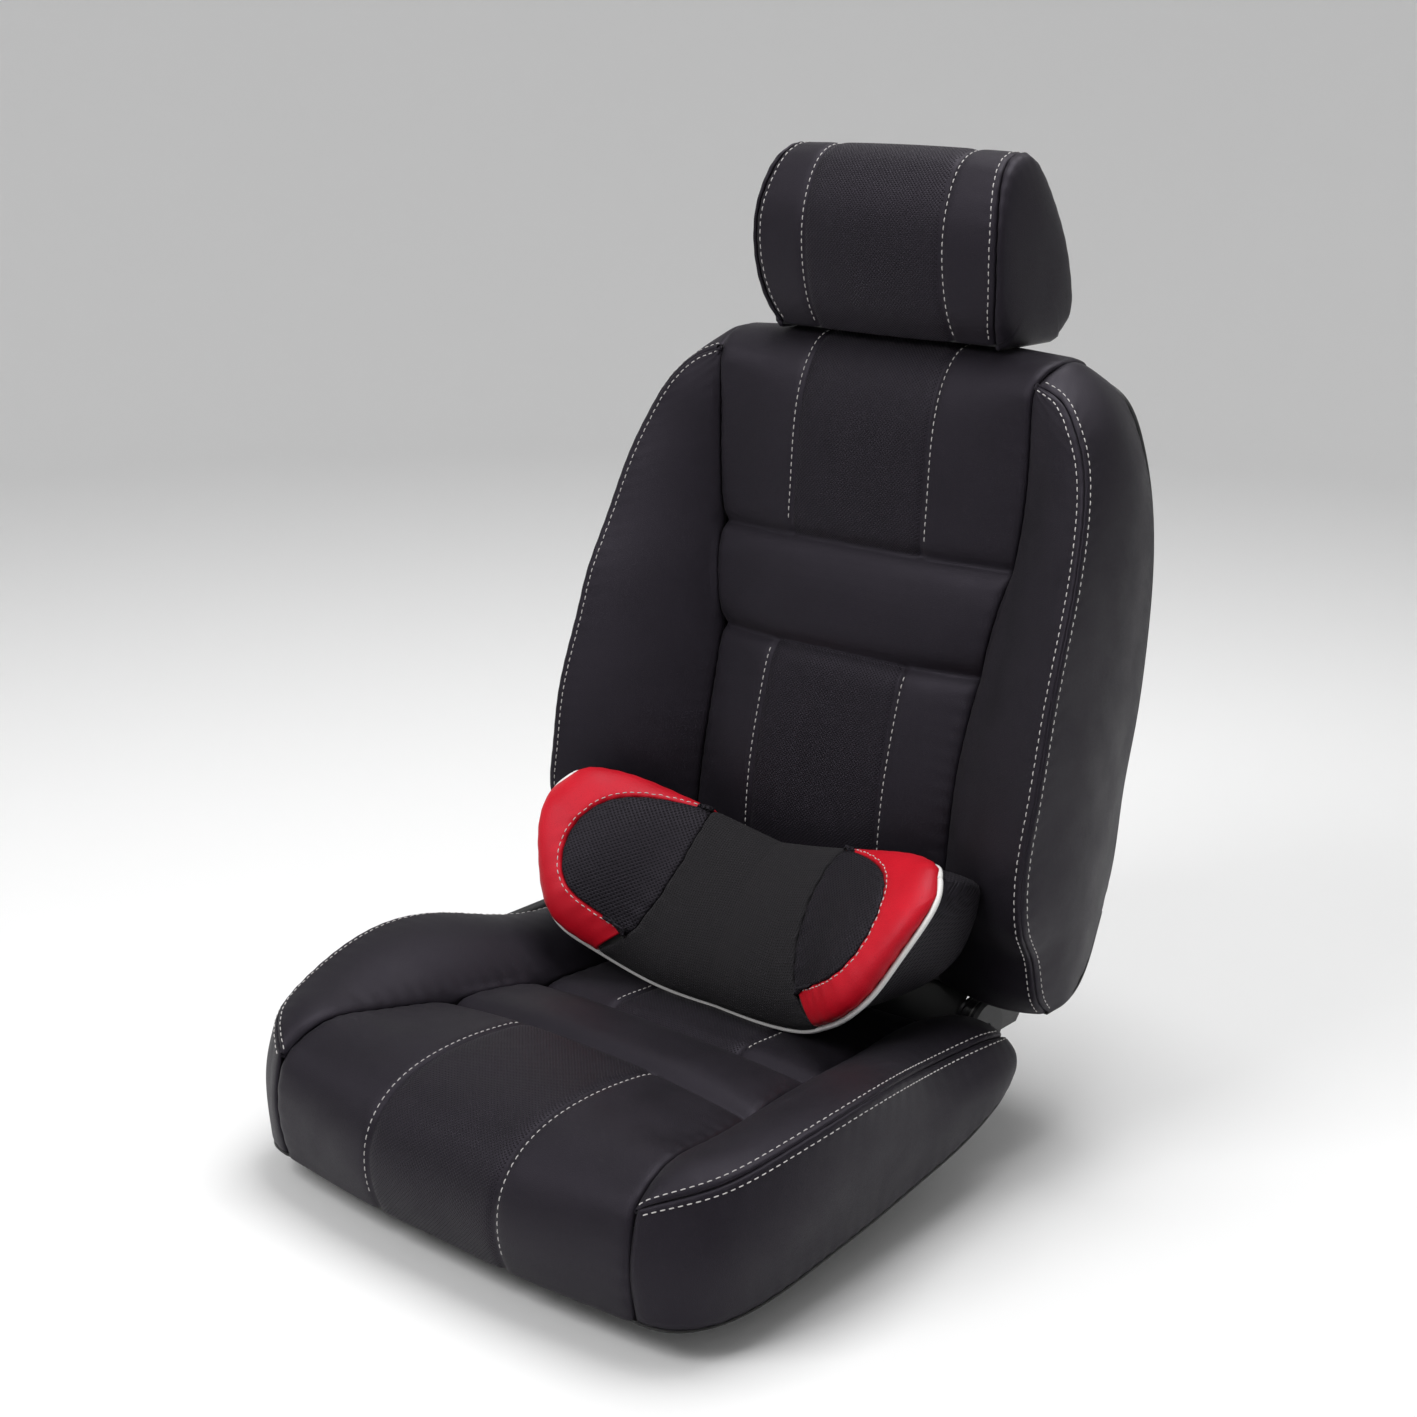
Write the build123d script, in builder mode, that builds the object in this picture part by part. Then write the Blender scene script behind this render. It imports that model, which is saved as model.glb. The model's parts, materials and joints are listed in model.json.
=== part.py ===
"""Sliding, reclining front seat with a headrest and a loose lumbar pillow.

Millimetres. The origin is the centre of the four floor bolts, on the face the rails stand on.
+X is the sitter's left, -Y is the front, +Z is up. x = 0 is the plane of symmetry.
"""
import os
from math import cos, radians, sin, tan

from build123d import *

os.makedirs("parts", exist_ok=True)

SIDES = (("left", 1), ("right", -1))
SKIN = 3.0  # upholstery over the foam
GAP = 0.3  # between parts that slide or turn on each other

# Floor rails
RAIL_X = 145.0
RAIL_HALF = 165.0
RAIL_WIDTH = 40.0
RAIL_HEIGHT = 20.0
RAIL_WALL = 2.5
RAIL_LIP = 8.0
BOLT_Y = 140.0
BOLT_HOLE_R = 4.5
UPPER_HALF = 150.0
UPPER_LOW, UPPER_TOP = 8.0, 30.0
STEM_HALF = 10.5
SLIDE_REACH = 75.0
ACCESS_R = 8.0

# Cushion frame
FRAME_X = 196.0  # outer face of each side member
FRAME_LOW, FRAME_TOP = 34.0, 88.0
FRAME_WALL = 3.0
FRAME_FRONT, FRAME_REAR = -195.0, 200.0
TUBE_R = 9.0
BASE_Z = 90.0  # underside of the cushion foam
RECESS_X, RECESS_FRONT = 232.0, -200.0

# Recliner
PIVOT_Y, PIVOT_Z = 238.0, 108.0
BACK_PLATE_X = 187.0  # outer face of the back's side plates
DISC_R = 22.0
DISC_THICK = 4.5
ROD_R = 4.0
ROD_HOLE_R = 5.0
LEVER_X = 212.0
LEVER_OUT = 284.0

# Back and headrest lean
LEAN = 10.0
BACK_TUBE_X = 175.0
POST_X = 65.0
POST_R = 6.0
POST_Y, POST_Z = 380.0, 690.0  # where the posts leave the top of the back
SLEEVE_R, SLEEVE_BORE = 10.0, 8.5
SLEEVE_LENGTH = 125.0
POST_DEPTH, POST_RISE = 118.0, 80.0

# Release bar
RELEASE_Y, RELEASE_Z = -60.0, 25.5
RELEASE_X = 118.0
RELEASE_FRONT = -185.0
PIN_R = 4.0

# Cushion centre, side view (y, z): over the front edge and back along the top
CUSHION_TOP = [
    (-236, 29), (-246, 50), (-249, 73), (-246, 96), (-232, 118), (-204, 133), (-157, 140),
    (-101, 138), (-50, 131), (0, 126), (45, 112), (130, 108), (212, 104),
]
CUSHION_UNDER = [(212, BASE_Z), (-205, BASE_Z), (-205, 29)]
# Seam between the cushion's centre and its bolsters, from above (y, x)
CUSHION_SEAM = [(-236, 204), (-185, 198), (45, 159), (216, 150)]
# Cushion bolster sections: y, seam height, crest x and z, widest x, lower edge z
CUSHION_BOLSTER = [
    (-233, 108, 206, 110, 213, 30), (-221, 130, 210, 134, 230, 30), (-205, 139, 229, 144, 246, 31),
    (-185, 143, 246, 151, 258, 32), (-130, 138, 264, 165, 272, 38), (-46, 127, 274, 176, 279, 43),
    (45, 113, 257, 162, 277, 46), (96, 110, 242, 148, 274, 57), (150, 108, 240, 143, 268, 74),
    (208, 107, 238, 142, 254, 98),
]

# Back centre, side view (y, z): up the front and over the top
BACK_FRONT = [
    (238, 138), (237, 200), (239, 260), (245, 310), (254, 350), (266, 385), (285, 420),
    (296, 460), (305, 500), (302, 550), (304, 600), (314, 645), (326, 670), (343, 686),
    (362, 690), (385, 690), (402, 683), (412, 668),
]
# Back's rear face (z, y)
BACK_REAR = [
    (138, 300), (177, 358), (232, 380), (337, 397), (411, 409), (463, 415), (514, 418),
    (571, 417), (617, 413), (650, 408), (684, 388),
]
# Hollow of the back, which holds its frame (y, z)
BACK_HOLLOW = [(290, 120), (350, 480), (343, 545), (350, 656), (388, 656), (400, 640)]
# Seam between the back's centre and its bolsters, from the front (z, x)
BACK_SEAM = [(130, 147), (279, 147), (411, 151), (571, 174), (684, 176)]
# Back bolster sections: z, seam y, crest x and y, widest x, rear corner y
BACK_BOLSTER = [
    (138, 240, 250, 226, 262, 284), (152, 241, 260, 215, 268, 306), (177, 242, 263, 205, 272, 343),
    (232, 245, 269, 171, 275, 360), (279, 253, 267, 167, 275, 367), (337, 264, 268, 178, 275, 377),
    (411, 284, 265, 202, 272, 389), (463, 295, 263, 215, 269, 396), (514, 304, 258, 244, 263, 396),
    (571, 308, 249, 269, 256, 388), (617, 311, 233, 288, 247, 380), (650, 317, 208, 306, 235, 376),
    (672, 328, 190, 325, 216, 374), (684, 345, 184, 342, 200, 372),
]
BACK_CAVITY_X = 198.0

# Headrest, side view (y, z)
HEADREST_OUTLINE = [
    (340, 699), (324, 718), (315, 745), (312, 775), (315, 805), (325, 833), (340, 853), (360, 861),
    (378, 856), (405, 828), (425, 788), (438, 745), (441, 715), (430, 699),
]
HEADREST_HALF, HEADREST_CAP = 126.0, 14.0

# Lumbar pillow sections: x, centre y and z, half depth, half height
PILLOW = [
    (0, 168, 172, 60, 58), (78, 162, 186, 66, 70), (140, 150, 206, 68, 78), (176, 142, 211, 60, 71),
    (200, 138, 212, 48, 58), (214, 136, 212, 32, 42),
]
PILLOW_SPLIT = 176.0  # where the mesh cover meets the end bands


def along(line, at):
    """The second value of a (first, second) line at a first value."""
    for (a, low), (b, high) in zip(line, line[1:]):
        if at <= b:
            return low + (high - low) * (at - a) / (b - a)
    return line[-1][1]


def outline(plane, points, inset=0.0):
    """A closed face through the points, on a plane."""
    with BuildSketch(plane) as sketch:
        with BuildLine():
            Polyline(*points, close=True)
        make_face()
        if inset:
            offset(amount=-inset, kind=Kind.INTERSECTION)
    return sketch.sketch


def mirrored(points):
    """A half outline given as (x, v), with its mirror image added."""
    return points + [(-x, v) for x, v in reversed(points) if x]


def finish(piece, label):
    """Label a finished sub-part and write its STEP file."""
    piece.part.label = label
    export_step(piece.part, f"parts/{label}.step")


def finish_pair(piece, label):
    """Finish a left sub-part and its mirror image."""
    finish(piece, f"{label}_left")
    with BuildPart() as other:
        mirror(piece.part, about=Plane.YZ)
    finish(other, f"{label}_right")


def wire(points, radius, bend):
    """A round wire along a path with rounded corners, added to the current part."""
    with BuildLine() as path:
        FilletPolyline(*points, radius=bend)
    with BuildSketch(Plane(path.line @ 0, z_dir=path.line % 0)) as section:
        Circle(radius)
    sweep(section.sketch, path.line, transition=Transition.ROUND)


def pivot_plane(x):
    """A plane across the recliner axis, facing +X."""
    return Plane(origin=(x, PIVOT_Y, PIVOT_Z), x_dir=(0, 1, 0), z_dir=(1, 0, 0))


def post_plane(side, along_post):
    """A plane across a headrest post, a distance up it from the top of the back."""
    rise = (0, sin(radians(LEAN)), cos(radians(LEAN)))
    origin = (side * POST_X, POST_Y + rise[1] * along_post, POST_Z + rise[2] * along_post)
    return Plane(origin=origin, x_dir=(1, 0, 0), z_dir=rise)


def tube_y(z):
    """Where the leaning back tube's centre line is at a height."""
    return 331 + (z - 300) * tan(radians(LEAN))


# ---------------------------------------------------------------- floor rails
inner_half = RAIL_WIDTH / 2 - RAIL_WALL
for name, s in SIDES:
    with BuildPart() as lower_rail:
        with BuildSketch(Plane.XZ.offset(-RAIL_HALF)):
            with Locations((s * RAIL_X, RAIL_HEIGHT / 2)):
                Rectangle(RAIL_WIDTH, RAIL_HEIGHT)
            with Locations((s * RAIL_X, RAIL_HEIGHT / 2)):
                Rectangle(2 * inner_half, RAIL_HEIGHT - 2 * RAIL_WALL, mode=Mode.SUBTRACT)
            with Locations((s * RAIL_X, RAIL_HEIGHT)):
                Rectangle(RAIL_WIDTH - 2 * RAIL_LIP, 2 * RAIL_WALL, mode=Mode.SUBTRACT)
        extrude(amount=2 * RAIL_HALF)
        with Locations((s * RAIL_X, -BOLT_Y, RAIL_WALL), (s * RAIL_X, BOLT_Y, RAIL_WALL)):
            Hole(radius=BOLT_HOLE_R, depth=RAIL_WALL)
    finish(lower_rail, f"lower_rail_{name}")

with BuildPart() as rail_racks:
    for name, s in SIDES:
        with Locations((s * (RAIL_X - RAIL_WIDTH / 2 - 3), -30, 10)):
            Box(6, 140, 4)
        for notch in range(-6, 7):
            with Locations((s * (RAIL_X - RAIL_WIDTH / 2 - 5), -30 + notch * 10, 10)):
                Box(4, 5, 6, mode=Mode.SUBTRACT)
finish(rail_racks, "rail_racks")

with BuildPart() as rail_stop_studs:
    for name, s in SIDES:
        with Locations((s * RAIL_X, 0, RAIL_WALL + 5)):
            Box(9, 10, 10)
finish(rail_stop_studs, "rail_stop_studs")

# ---------------------------------------------------------------- cushion frame
for name, s in SIDES:
    with BuildPart() as upper_rail:
        with BuildSketch(Plane.XZ.offset(-UPPER_HALF)):
            with Locations((s * RAIL_X, (UPPER_LOW + UPPER_TOP) / 2)):
                Rectangle(2 * STEM_HALF, UPPER_TOP - UPPER_LOW)
            with Locations((s * RAIL_X, UPPER_LOW + RAIL_WALL / 2)):
                Rectangle(2 * (inner_half - 1.5), RAIL_WALL)
            with Locations((s * RAIL_X, (UPPER_LOW + UPPER_TOP) / 2 - RAIL_WALL)):
                Rectangle(2 * (STEM_HALF - RAIL_WALL), UPPER_TOP - UPPER_LOW, mode=Mode.SUBTRACT)
        extrude(amount=2 * UPPER_HALF)
        with Locations((s * RAIL_X, -BOLT_Y, UPPER_TOP), (s * RAIL_X, BOLT_Y, UPPER_TOP)):
            Hole(radius=ACCESS_R, depth=RAIL_WALL)
        with Locations(Plane(origin=(s * RAIL_X, RELEASE_Y, RELEASE_Z), z_dir=(1, 0, 0))):
            Cylinder(PIN_R, 4 * STEM_HALF, mode=Mode.SUBTRACT)
    finish(upper_rail, f"upper_rail_{name}")

roller_r = (UPPER_LOW - RAIL_WALL - 0.15) / 2
with BuildPart() as rail_rollers:
    for name, s in SIDES:
        for y in (-125, -45, 45, 125):
            for off in (-12, 12):
                spot = (s * RAIL_X + off, y, UPPER_LOW - roller_r)
                with Locations(Plane(origin=spot, z_dir=(1, 0, 0))):
                    Cylinder(roller_r, 6)
finish(rail_rollers, "rail_rollers")

stop_y = SLIDE_REACH + 5 + 0.5 + 4
with BuildPart() as rail_stop_blocks:
    for name, s in SIDES:
        for y in (-stop_y, stop_y):
            with Locations((s * RAIL_X, y, (UPPER_TOP - RAIL_WALL + 6) / 2)):
                Box(2 * (STEM_HALF - RAIL_WALL), 8, UPPER_TOP - RAIL_WALL - 6)
finish(rail_stop_blocks, "rail_stop_blocks")

with BuildPart() as rail_brackets:
    bracket_in, bracket_out = RAIL_X - STEM_HALF, FRAME_X - 4
    for name, s in SIDES:
        for y in (-100, 100):
            with Locations((s * (bracket_in + bracket_out) / 2, y, (UPPER_TOP + FRAME_LOW) / 2)):
                Box(bracket_out - bracket_in, 42, FRAME_LOW - UPPER_TOP)
finish(rail_brackets, "rail_brackets")

for name, s in SIDES:
    with BuildPart() as side_frame:
        with BuildSketch(Plane.XZ.offset(-FRAME_REAR)):
            web_z = (FRAME_LOW + FRAME_TOP) / 2
            with Locations((s * (FRAME_X - 8), web_z)):
                Rectangle(16, FRAME_TOP - FRAME_LOW)
            with Locations((s * (FRAME_X - 8 - FRAME_WALL), web_z)):
                Rectangle(16, FRAME_TOP - FRAME_LOW - 2 * FRAME_WALL, mode=Mode.SUBTRACT)
        extrude(amount=FRAME_REAR - FRAME_FRONT)
        with Locations(Plane(origin=(s * FRAME_X, 0, web_z), z_dir=(1, 0, 0))):
            with Locations((0, -120), (0, -40), (0, 40)):
                Cylinder(12, 10, mode=Mode.SUBTRACT)
        with Locations(Plane(origin=(s * FRAME_X, 150, 64), x_dir=(0, 1, 0), z_dir=(1, 0, 0))):
            with Locations((-18, 0), (24, 0)):
                Cylinder(4, 10, mode=Mode.SUBTRACT)
    finish(side_frame, f"seat_side_frame_{name}")

tube_half = FRAME_X - FRAME_WALL
for name, y in (("front", -165.0), ("rear", 185.0)):
    with BuildPart() as cross_tube:
        with BuildSketch(Plane.YZ.offset(-tube_half)):
            with Locations((y, FRAME_TOP - FRAME_WALL - TUBE_R)):
                Circle(TUBE_R)
                Circle(TUBE_R - 2, mode=Mode.SUBTRACT)
        extrude(amount=2 * tube_half)
    finish(cross_tube, f"{name}_cross_tube")

with BuildPart() as seat_pan:
    with BuildSketch(Plane.YZ.offset(-FRAME_X)):
        with BuildLine():
            Polyline((-198, 70), (-196, 70), (-196, FRAME_TOP), (-80, FRAME_TOP), (-80, BASE_Z),
                     (-198, BASE_Z), close=True)
        make_face()
    extrude(amount=2 * FRAME_X)
    with Locations((-90, -140, BASE_Z), (0, -140, BASE_Z), (90, -140, BASE_Z)):
        Hole(radius=22, depth=4)
finish(seat_pan, "seat_pan")

spring_r = 1.8
with BuildPart() as seat_springs:
    for x in (-114, -40, 40, 114):
        bends = [(x + (16 if step % 2 else -16), -64 + step * 21, BASE_Z - spring_r)
                 for step in range(12)]
        start, end = (x, -77, BASE_Z - spring_r), (x, 183, BASE_Z - spring_r)
        wire([start] + bends + [end], spring_r, 6)
finish(seat_springs, "seat_springs")

# ---------------------------------------------------------------- cushion foam and cover
cushion_profile = CUSHION_TOP + CUSHION_UNDER
cushion_plan = mirrored([(0, -252), (110, -248)] + [(x, y) for y, x in CUSHION_SEAM])
with BuildPart() as seat_foam:
    extrude(outline(Plane.YZ, cushion_profile, SKIN), amount=RECESS_X, both=True)
    extrude(outline(Plane.XY, cushion_plan, 0.3), amount=200, mode=Mode.INTERSECT)
finish(seat_foam, "seat_foam")

with BuildPart() as seat_cover:
    extrude(outline(Plane.YZ, cushion_profile), amount=RECESS_X, both=True)
    extrude(outline(Plane.YZ, cushion_profile, SKIN), amount=RECESS_X, both=True, mode=Mode.SUBTRACT)
    extrude(outline(Plane.XY, cushion_plan), amount=200, mode=Mode.INTERSECT)
finish(seat_cover, "seat_cover")


def cushion_section(station, skin):
    """One section of the left cushion bolster, drawn in by the skin's thickness."""
    y, seam_z, crest_x, crest_z, wide_x, low_z = station
    seam_x = along(CUSHION_SEAM, y)
    stitch_x = min(crest_x + 9, wide_x - 2)
    points = [
        (seam_x, low_z + skin),
        (seam_x, seam_z - skin),
        ((seam_x + crest_x) / 2, seam_z + 0.62 * (crest_z - seam_z) - skin),
        (crest_x - skin / 2, crest_z - skin),
        (stitch_x - skin, crest_z - 12 - skin),
        (wide_x - skin, (crest_z + low_z) / 2),
        (wide_x - 7 - skin, low_z + skin),
    ]
    return outline(Plane.XZ.offset(-y), points)


def cushion_bolster(skin):
    """The left cushion bolster, with the hollow for the frame cut out, in the current part."""
    stations = list(CUSHION_BOLSTER)
    stations[0] = (stations[0][0] + skin,) + stations[0][1:]
    stations[-1] = (stations[-1][0] - skin,) + stations[-1][1:]
    loft(sections=[cushion_section(station, skin) for station in stations], ruled=True)
    with Locations((RECESS_X / 2, 0, 0)):
        Box(RECESS_X, -2 * RECESS_FRONT, 2 * BASE_Z, mode=Mode.SUBTRACT)
    with Locations((RECESS_X / 2, -RECESS_FRONT + 20, 0)):
        Box(RECESS_X, 40, 2 * BASE_Z, mode=Mode.SUBTRACT)


with BuildPart() as bolster_foam:
    cushion_bolster(SKIN)
finish_pair(bolster_foam, "seat_bolster_foam")
with BuildPart() as bolster_cover:
    cushion_bolster(0)
    add(bolster_foam.part, mode=Mode.SUBTRACT)
finish_pair(bolster_cover, "seat_bolster_cover")

# ---------------------------------------------------------------- recliner, cushion side
plate_x = FRAME_X + FRAME_WALL
for name, s in SIDES:
    with BuildPart() as recliner_bracket:
        with BuildSketch(Plane.YZ.offset(s * (FRAME_X + FRAME_WALL / 2))):
            with Locations((PIVOT_Y, PIVOT_Z)):
                Circle(DISC_R + 2)
            with BuildLine():
                Polyline((112, 44), (205, 44), (PIVOT_Y + 21, PIVOT_Z - 12),
                         (PIVOT_Y - 10, PIVOT_Z + 21), (212, 112), (212, 86), (112, 86),
                         close=True)
            make_face()
            with Locations((PIVOT_Y, PIVOT_Z)):
                Circle(ROD_HOLE_R, mode=Mode.SUBTRACT)
            with Locations((132, 64), (174, 64)):
                Circle(4, mode=Mode.SUBTRACT)
        extrude(amount=FRAME_WALL / 2, both=True)
    finish(recliner_bracket, f"recliner_bracket_{name}")


with BuildPart() as recliner_housings:
    for name, s in SIDES:
        with BuildSketch(pivot_plane(s * (BACK_PLATE_X + DISC_THICK + GAP))):
            Circle(DISC_R)
            Circle(ROD_HOLE_R, mode=Mode.SUBTRACT)
        extrude(amount=s * (FRAME_X - BACK_PLATE_X - DISC_THICK - GAP))
finish(recliner_housings, "recliner_housings")

with BuildPart() as recliner_caps:
    for name, s in SIDES:
        with BuildSketch(pivot_plane(s * plate_x)):
            Circle(DISC_R + 4)
            Circle(ROD_HOLE_R, mode=Mode.SUBTRACT)
        extrude(amount=s * 6)
    chamfer(recliner_caps.faces().filter_by(Axis.X).sort_by(Axis.X)[-1].outer_wire().edges(), 3)
    chamfer(recliner_caps.faces().filter_by(Axis.X).sort_by(Axis.X)[0].outer_wire().edges(), 3)
finish(recliner_caps, "recliner_caps")

with BuildPart() as recliner_discs:
    for name, s in SIDES:
        with BuildSketch(pivot_plane(s * BACK_PLATE_X)):
            Circle(DISC_R)
            Circle(ROD_HOLE_R, mode=Mode.SUBTRACT)
        extrude(amount=s * DISC_THICK)
finish(recliner_discs, "recliner_discs")

with BuildPart() as recliner_bolts:
    for name, s in SIDES:
        for y in (132, 174):
            with BuildSketch(Plane.YZ.offset(s * plate_x)):
                with Locations((y, 64)):
                    RegularPolygon(7, 6)
            extrude(amount=s * 5)
            with BuildSketch(Plane.YZ.offset(s * (FRAME_X - FRAME_WALL - 6))):
                with Locations((y, 64)):
                    Circle(4)
            extrude(amount=s * (2 * FRAME_WALL + 6))
finish(recliner_bolts, "recliner_bolts")

# ---------------------------------------------------------------- recliner lever
with BuildPart() as recliner_rod:
    with BuildSketch(pivot_plane(-LEVER_X)):
        Circle(ROD_R)
    extrude(amount=LEVER_X + plate_x + 4)
finish(recliner_rod, "recliner_rod")

with BuildPart() as recliner_lever:
    with BuildSketch(pivot_plane(-LEVER_X)):
        Circle(11)
        Circle(ROD_R, mode=Mode.SUBTRACT)
    extrude(amount=5)
    with BuildSketch(pivot_plane(-LEVER_OUT - 5)):
        Circle(10)
    extrude(amount=LEVER_OUT + 5 - LEVER_X)
    with BuildSketch(Plane.YZ.offset(-LEVER_OUT - 5)):
        with Locations((PIVOT_Y - 64, PIVOT_Z)):
            Rectangle(128, 14)
    extrude(amount=5)
finish(recliner_lever, "recliner_lever")

with BuildPart() as lever_grip:
    with BuildSketch(Plane.XZ.offset(-(PIVOT_Y - 14))):
        with Locations((-LEVER_OUT - 3, PIVOT_Z)):
            RectangleRounded(14, 26, 5)
            Rectangle(5, 14, mode=Mode.SUBTRACT)
    extrude(amount=118)
    with BuildSketch(Plane.XZ.offset(-(PIVOT_Y - 128))):
        with Locations((-LEVER_OUT - 3, PIVOT_Z)):
            RectangleRounded(14, 26, 5)
    extrude(amount=6)
    with Locations((-LEVER_OUT - 2.5, PIVOT_Y - 64, PIVOT_Z)):
        Box(5, 128, 14, mode=Mode.SUBTRACT)
finish(lever_grip, "lever_grip")

# ---------------------------------------------------------------- track release bar
with BuildPart() as release_bar:
    corner = (RELEASE_X, RELEASE_FRONT, RELEASE_Z)
    wire([(RELEASE_X, RELEASE_Y - 6, RELEASE_Z), corner, (-corner[0], corner[1], corner[2]),
          (-RELEASE_X, RELEASE_Y - 6, RELEASE_Z)], 5, 25)
    for s in (-1, 1):
        with Locations(Plane(origin=(s * RELEASE_X, RELEASE_Y, RELEASE_Z), z_dir=(1, 0, 0))):
            Cylinder(9, 12)
            Cylinder(PIN_R + 0.08, 14, mode=Mode.SUBTRACT)
finish(release_bar, "release_bar")

with BuildPart() as latch_plates:
    for s in (-1, 1):
        with Locations((s * RELEASE_X, RELEASE_Y + 20.5, RELEASE_Z)):
            Box(8, 22, 7)
        for y in (25, 30):
            with Locations((s * RELEASE_X, RELEASE_Y + y - 3, RELEASE_Z - 5)):
                Box(8, 3, 4)
finish(latch_plates, "latch_plates")

with BuildPart() as release_pins:
    for s in (-1, 1):
        inner, outer = RELEASE_X - 8, RAIL_X - STEM_HALF + RAIL_WALL
        spot = (s * (inner + outer) / 2, RELEASE_Y, RELEASE_Z)
        with Locations(Plane(origin=spot, z_dir=(1, 0, 0))):
            Cylinder(PIN_R, outer - inner)
        with Locations(Plane(origin=(s * (inner - 1.5), RELEASE_Y, RELEASE_Z), z_dir=(1, 0, 0))):
            Cylinder(PIN_R + 3, 3)
finish(release_pins, "release_pins")

# ---------------------------------------------------------------- back frame
for name, s in SIDES:
    with BuildPart() as back_plate:
        with BuildSketch(Plane.YZ.offset(s * (BACK_PLATE_X - 1.5))):
            with Locations((PIVOT_Y, PIVOT_Z)):
                Circle(DISC_R + 2)
            with BuildLine():
                Polyline((PIVOT_Y, 84), (312, 84), (326, 100), (344, 262), (324, 262), (302, 150),
                         (298, 133), (PIVOT_Y, 133), close=True)
            make_face()
            with Locations((PIVOT_Y, PIVOT_Z)):
                Circle(ROD_HOLE_R, mode=Mode.SUBTRACT)
        extrude(amount=1.5, both=True)
    finish(back_plate, f"back_side_plate_{name}")

tube_low, tube_high = 140.0, 590.0
with BuildPart() as back_frame_tube:
    feet = [(s * BACK_TUBE_X, tube_y(tube_low), tube_low) for s in (1, -1)]
    heads = [(s * BACK_TUBE_X, tube_y(tube_high), tube_high) for s in (1, -1)]
    wire([feet[0], heads[0], heads[1], feet[1]], TUBE_R, 55)
finish(back_frame_tube, "back_frame_tube")

with BuildPart() as back_lower_tube:
    half = BACK_TUBE_X - TUBE_R
    with BuildSketch(Plane.YZ.offset(-half)):
        with Locations((tube_y(165), 165)):
            Circle(7)
    extrude(amount=2 * half)
finish(back_lower_tube, "back_lower_tube")

with BuildPart() as back_springs:
    for z in (225, 295, 365, 435):
        y = tube_y(z) - 8
        bends = [(x, y + (16 if step % 2 else -16) * tan(radians(LEAN)),
                  z + (16 if step % 2 else -16))
                 for step, x in enumerate(range(-143, 144, 26))]
        wire([(-167, y, z)] + bends + [(167, y, z)], spring_r, 6)
finish(back_springs, "back_springs")

with BuildPart() as headrest_sleeves:
    for s in (-1, 1):
        with BuildSketch(post_plane(s, -SLEEVE_LENGTH)):
            Circle(SLEEVE_R)
            Circle(SLEEVE_BORE, mode=Mode.SUBTRACT)
        extrude(amount=SLEEVE_LENGTH - 4)
finish(headrest_sleeves, "headrest_sleeves")

collar_low, collar_high, collar_r = -2.0, 6.5, 14.0
button_r, button_up = 2.6, 2.6
button_inner, button_outer, button_travel = 11.0, 18.0, 3.0
for name, s in SIDES:
    with BuildPart() as guide:
        with BuildSketch(post_plane(s, -60)):
            Circle(SLEEVE_BORE)
        extrude(amount=60 + collar_low)
        with BuildSketch(post_plane(s, collar_low)):
            Circle(collar_r)
        extrude(amount=collar_high - collar_low)
        with BuildSketch(post_plane(s, -60)):
            Circle(POST_R + GAP)
        extrude(amount=60 + collar_high, mode=Mode.SUBTRACT)
        if s > 0:
            spot = post_plane(s, button_up).origin
            pocket_in = spot.X + button_inner - button_travel - GAP
            with BuildSketch(Plane(origin=(pocket_in, spot.Y, spot.Z), z_dir=(1, 0, 0))):
                Circle(button_r + GAP)
            extrude(amount=20, mode=Mode.SUBTRACT)
    finish(guide, f"headrest_guide_{name}")

with BuildPart() as headrest_button:
    spot = post_plane(1, button_up).origin
    with BuildSketch(Plane(origin=(spot.X + button_inner, spot.Y, spot.Z), z_dir=(1, 0, 0))):
        Circle(button_r)
    extrude(amount=button_outer - button_inner)
finish(headrest_button, "headrest_button")

# ---------------------------------------------------------------- back foam and cover
rear_line = [(y, z) for z, y in reversed(BACK_REAR) if z <= 650]
back_hollow = BACK_HOLLOW + [(y - SKIN, z) for y, z in rear_line if z < 650] + [(298, 120)]
back_outer = BACK_FRONT + [(y - SKIN, z) for y, z in rear_line]
back_face = mirrored([(0, 130)] + [(x, z) for z, x in BACK_SEAM] + [(150, 692), (0, 694)])


def cut_hollow(half_width):
    """Cut the back's hollow, and the holes for the headrest guides, from the current part."""
    extrude(outline(Plane.YZ, back_hollow), amount=half_width, both=True, mode=Mode.SUBTRACT)
    for s in (-1, 1):
        with BuildSketch(post_plane(s, -60)) as guide_hole:
            Circle(collar_r + 6)
        extrude(guide_hole.sketch, amount=90, mode=Mode.SUBTRACT)


with BuildPart() as back_foam:
    extrude(outline(Plane.YZ, back_outer, SKIN), amount=240, both=True)
    extrude(outline(Plane.XZ.offset(-500), back_face), amount=500, mode=Mode.INTERSECT)
    cut_hollow(240)
finish(back_foam, "back_foam")

with BuildPart() as back_cover:
    extrude(outline(Plane.YZ, back_outer), amount=240, both=True)
    extrude(outline(Plane.YZ, back_outer, SKIN), amount=240, both=True, mode=Mode.SUBTRACT)
    extrude(outline(Plane.XZ.offset(-500), back_face), amount=500, mode=Mode.INTERSECT)
    cut_hollow(240)
finish(back_cover, "back_cover")


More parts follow.
